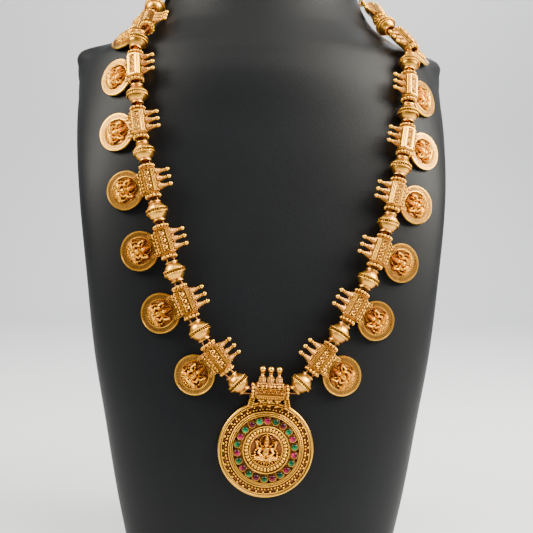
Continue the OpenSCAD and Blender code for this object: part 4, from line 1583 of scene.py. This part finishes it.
def stage_floor():
    """A pale sweep behind and under the bust."""
    bend = SWEEP_REAR - SWEEP_BEND
    outline = [(SWEEP_FRONT, 0), (bend, 0)]
    for k in range(1, 13):
        a = math.radians(90 * k / 12)
        outline.append((bend + SWEEP_BEND * math.sin(a), SWEEP_BEND * (1 - math.cos(a))))
    outline.append((SWEEP_REAR, SWEEP_TOP))
    points = [(x * MM, y * MM, z * MM) for y, z in outline for x in (-SWEEP_SIDE, SWEEP_SIDE)]
    quads = [[2 * k, 2 * k + 1, 2 * k + 3, 2 * k + 2] for k in range(len(outline) - 1)]
    mesh = bpy.data.meshes.new("sweep")
    mesh.from_pydata(points, [], quads)
    mesh.polygons.foreach_set("use_smooth", np.ones(len(mesh.polygons), bool))
    o = bpy.data.objects.new("sweep", mesh)
    bpy.context.scene.collection.objects.link(o)
    material, tree, body = start_material("pale_sweep")
    fitted(tree, body, Base_Color=(0.62, 0.63, 0.65, 1), Roughness=0.8)
    mesh.materials.append(material)


stage_floor()


def lamp(name, place, target, size, power, colour=(1, 1, 1)):
    """A flat lamp at a place, turned to a target; places and sizes are in metres."""
    data = bpy.data.lights.new(name, "AREA")
    data.shape = "RECTANGLE"
    data.size, data.size_y = size
    data.energy = power
    data.color = colour
    o = bpy.data.objects.new(name, data)
    o.location = place
    o.rotation_euler = (Vector(target) - Vector(place)).to_track_quat("-Z", "Y").to_euler()
    bpy.context.scene.collection.objects.link(o)


SUN_WARM = (1.0, 0.96, 0.86)
lamp("left_window", (-0.76, -0.22, 0.84), (0.0, -0.04, 0.25), (0.4, 0.6), 20.5, SUN_WARM)
lamp("right_window", (0.72, -0.3, 0.8), (0.0, -0.04, 0.25), (0.45, 0.6), 27.0, SUN_WARM)
lamp("right_side", (0.75, -0.1, 0.5), (0.1, 0.0, 0.25), (0.3, 0.4), 9.0, SUN_WARM)
lamp("left_side", (-0.75, -0.05, 0.62), (-0.1, 0.0, 0.32), (0.3, 0.4), 3.5, SUN_WARM)
lamp("overhead", (0.0, -0.42, 1.1), (0.0, -0.06, 0.22), (0.5, 0.3), 4.0, SUN_WARM)
lamp("right_front", (0.48, -0.6, 0.86), (0.06, -0.05, 0.26), (0.3, 0.35), 5.5, SUN_WARM)
lamp("back_wash", (0.5, 0.95, 1.7), (0.25, 1.6, 0.5), (1.8, 0.5), 36.0)
lamp("back_fill", (0.35, 0.9, 0.8), (0.0, 0.05, 0.22), (0.6, 0.4), 3.5)

world = bpy.data.worlds.new("room")
bpy.context.scene.world = world
world.use_nodes = True
world.node_tree.nodes["Background"].inputs["Color"].default_value = (0.55, 0.68, 1.0, 1)
world.node_tree.nodes["Background"].inputs["Strength"].default_value = 0.13

# The camera as worked out from the photograph: degrees to one side, down and of roll, the
# point it looks at, how far away it is, and its focal length in widths of the picture
CAMERA_TURN, CAMERA_DOWN, CAMERA_ROLL = -4.5, 3.0, 1.0
CAMERA_LOOKS_AT, CAMERA_AWAY = (-2.8, -64, 172), 500
CAMERA_SENSOR, CAMERA_FOCUS = 36, 943.4 / 533


def photo_camera():
    """Camera as in the photograph: half a metre away, a little to the left and above."""
    turn, down, roll = (math.radians(a) for a in (CAMERA_TURN, CAMERA_DOWN, CAMERA_ROLL))
    level = math.cos(down)
    ahead = np.array([-math.sin(turn) * level, math.cos(turn) * level, -math.sin(down)])
    right = np.array([math.cos(turn), math.sin(turn), 0])
    up = np.cross(right, ahead)
    c, s = math.cos(roll), math.sin(roll)
    right, up = right * c + up * s, up * c - right * s
    place = np.array(CAMERA_LOOKS_AT) - ahead * CAMERA_AWAY
    data = bpy.data.cameras.new("photo_camera")
    data.sensor_width = CAMERA_SENSOR
    data.lens = CAMERA_FOCUS * CAMERA_SENSOR
    data.clip_start, data.clip_end = 0.01, 20
    o = bpy.data.objects.new("photo_camera", data)
    m = np.eye(4)
    m[:3, 0], m[:3, 1], m[:3, 2], m[:3, 3] = right, up, -ahead, place * MM
    o.matrix_world = Matrix(m.tolist())
    bpy.context.scene.collection.objects.link(o)
    bpy.context.scene.camera = o


photo_camera()
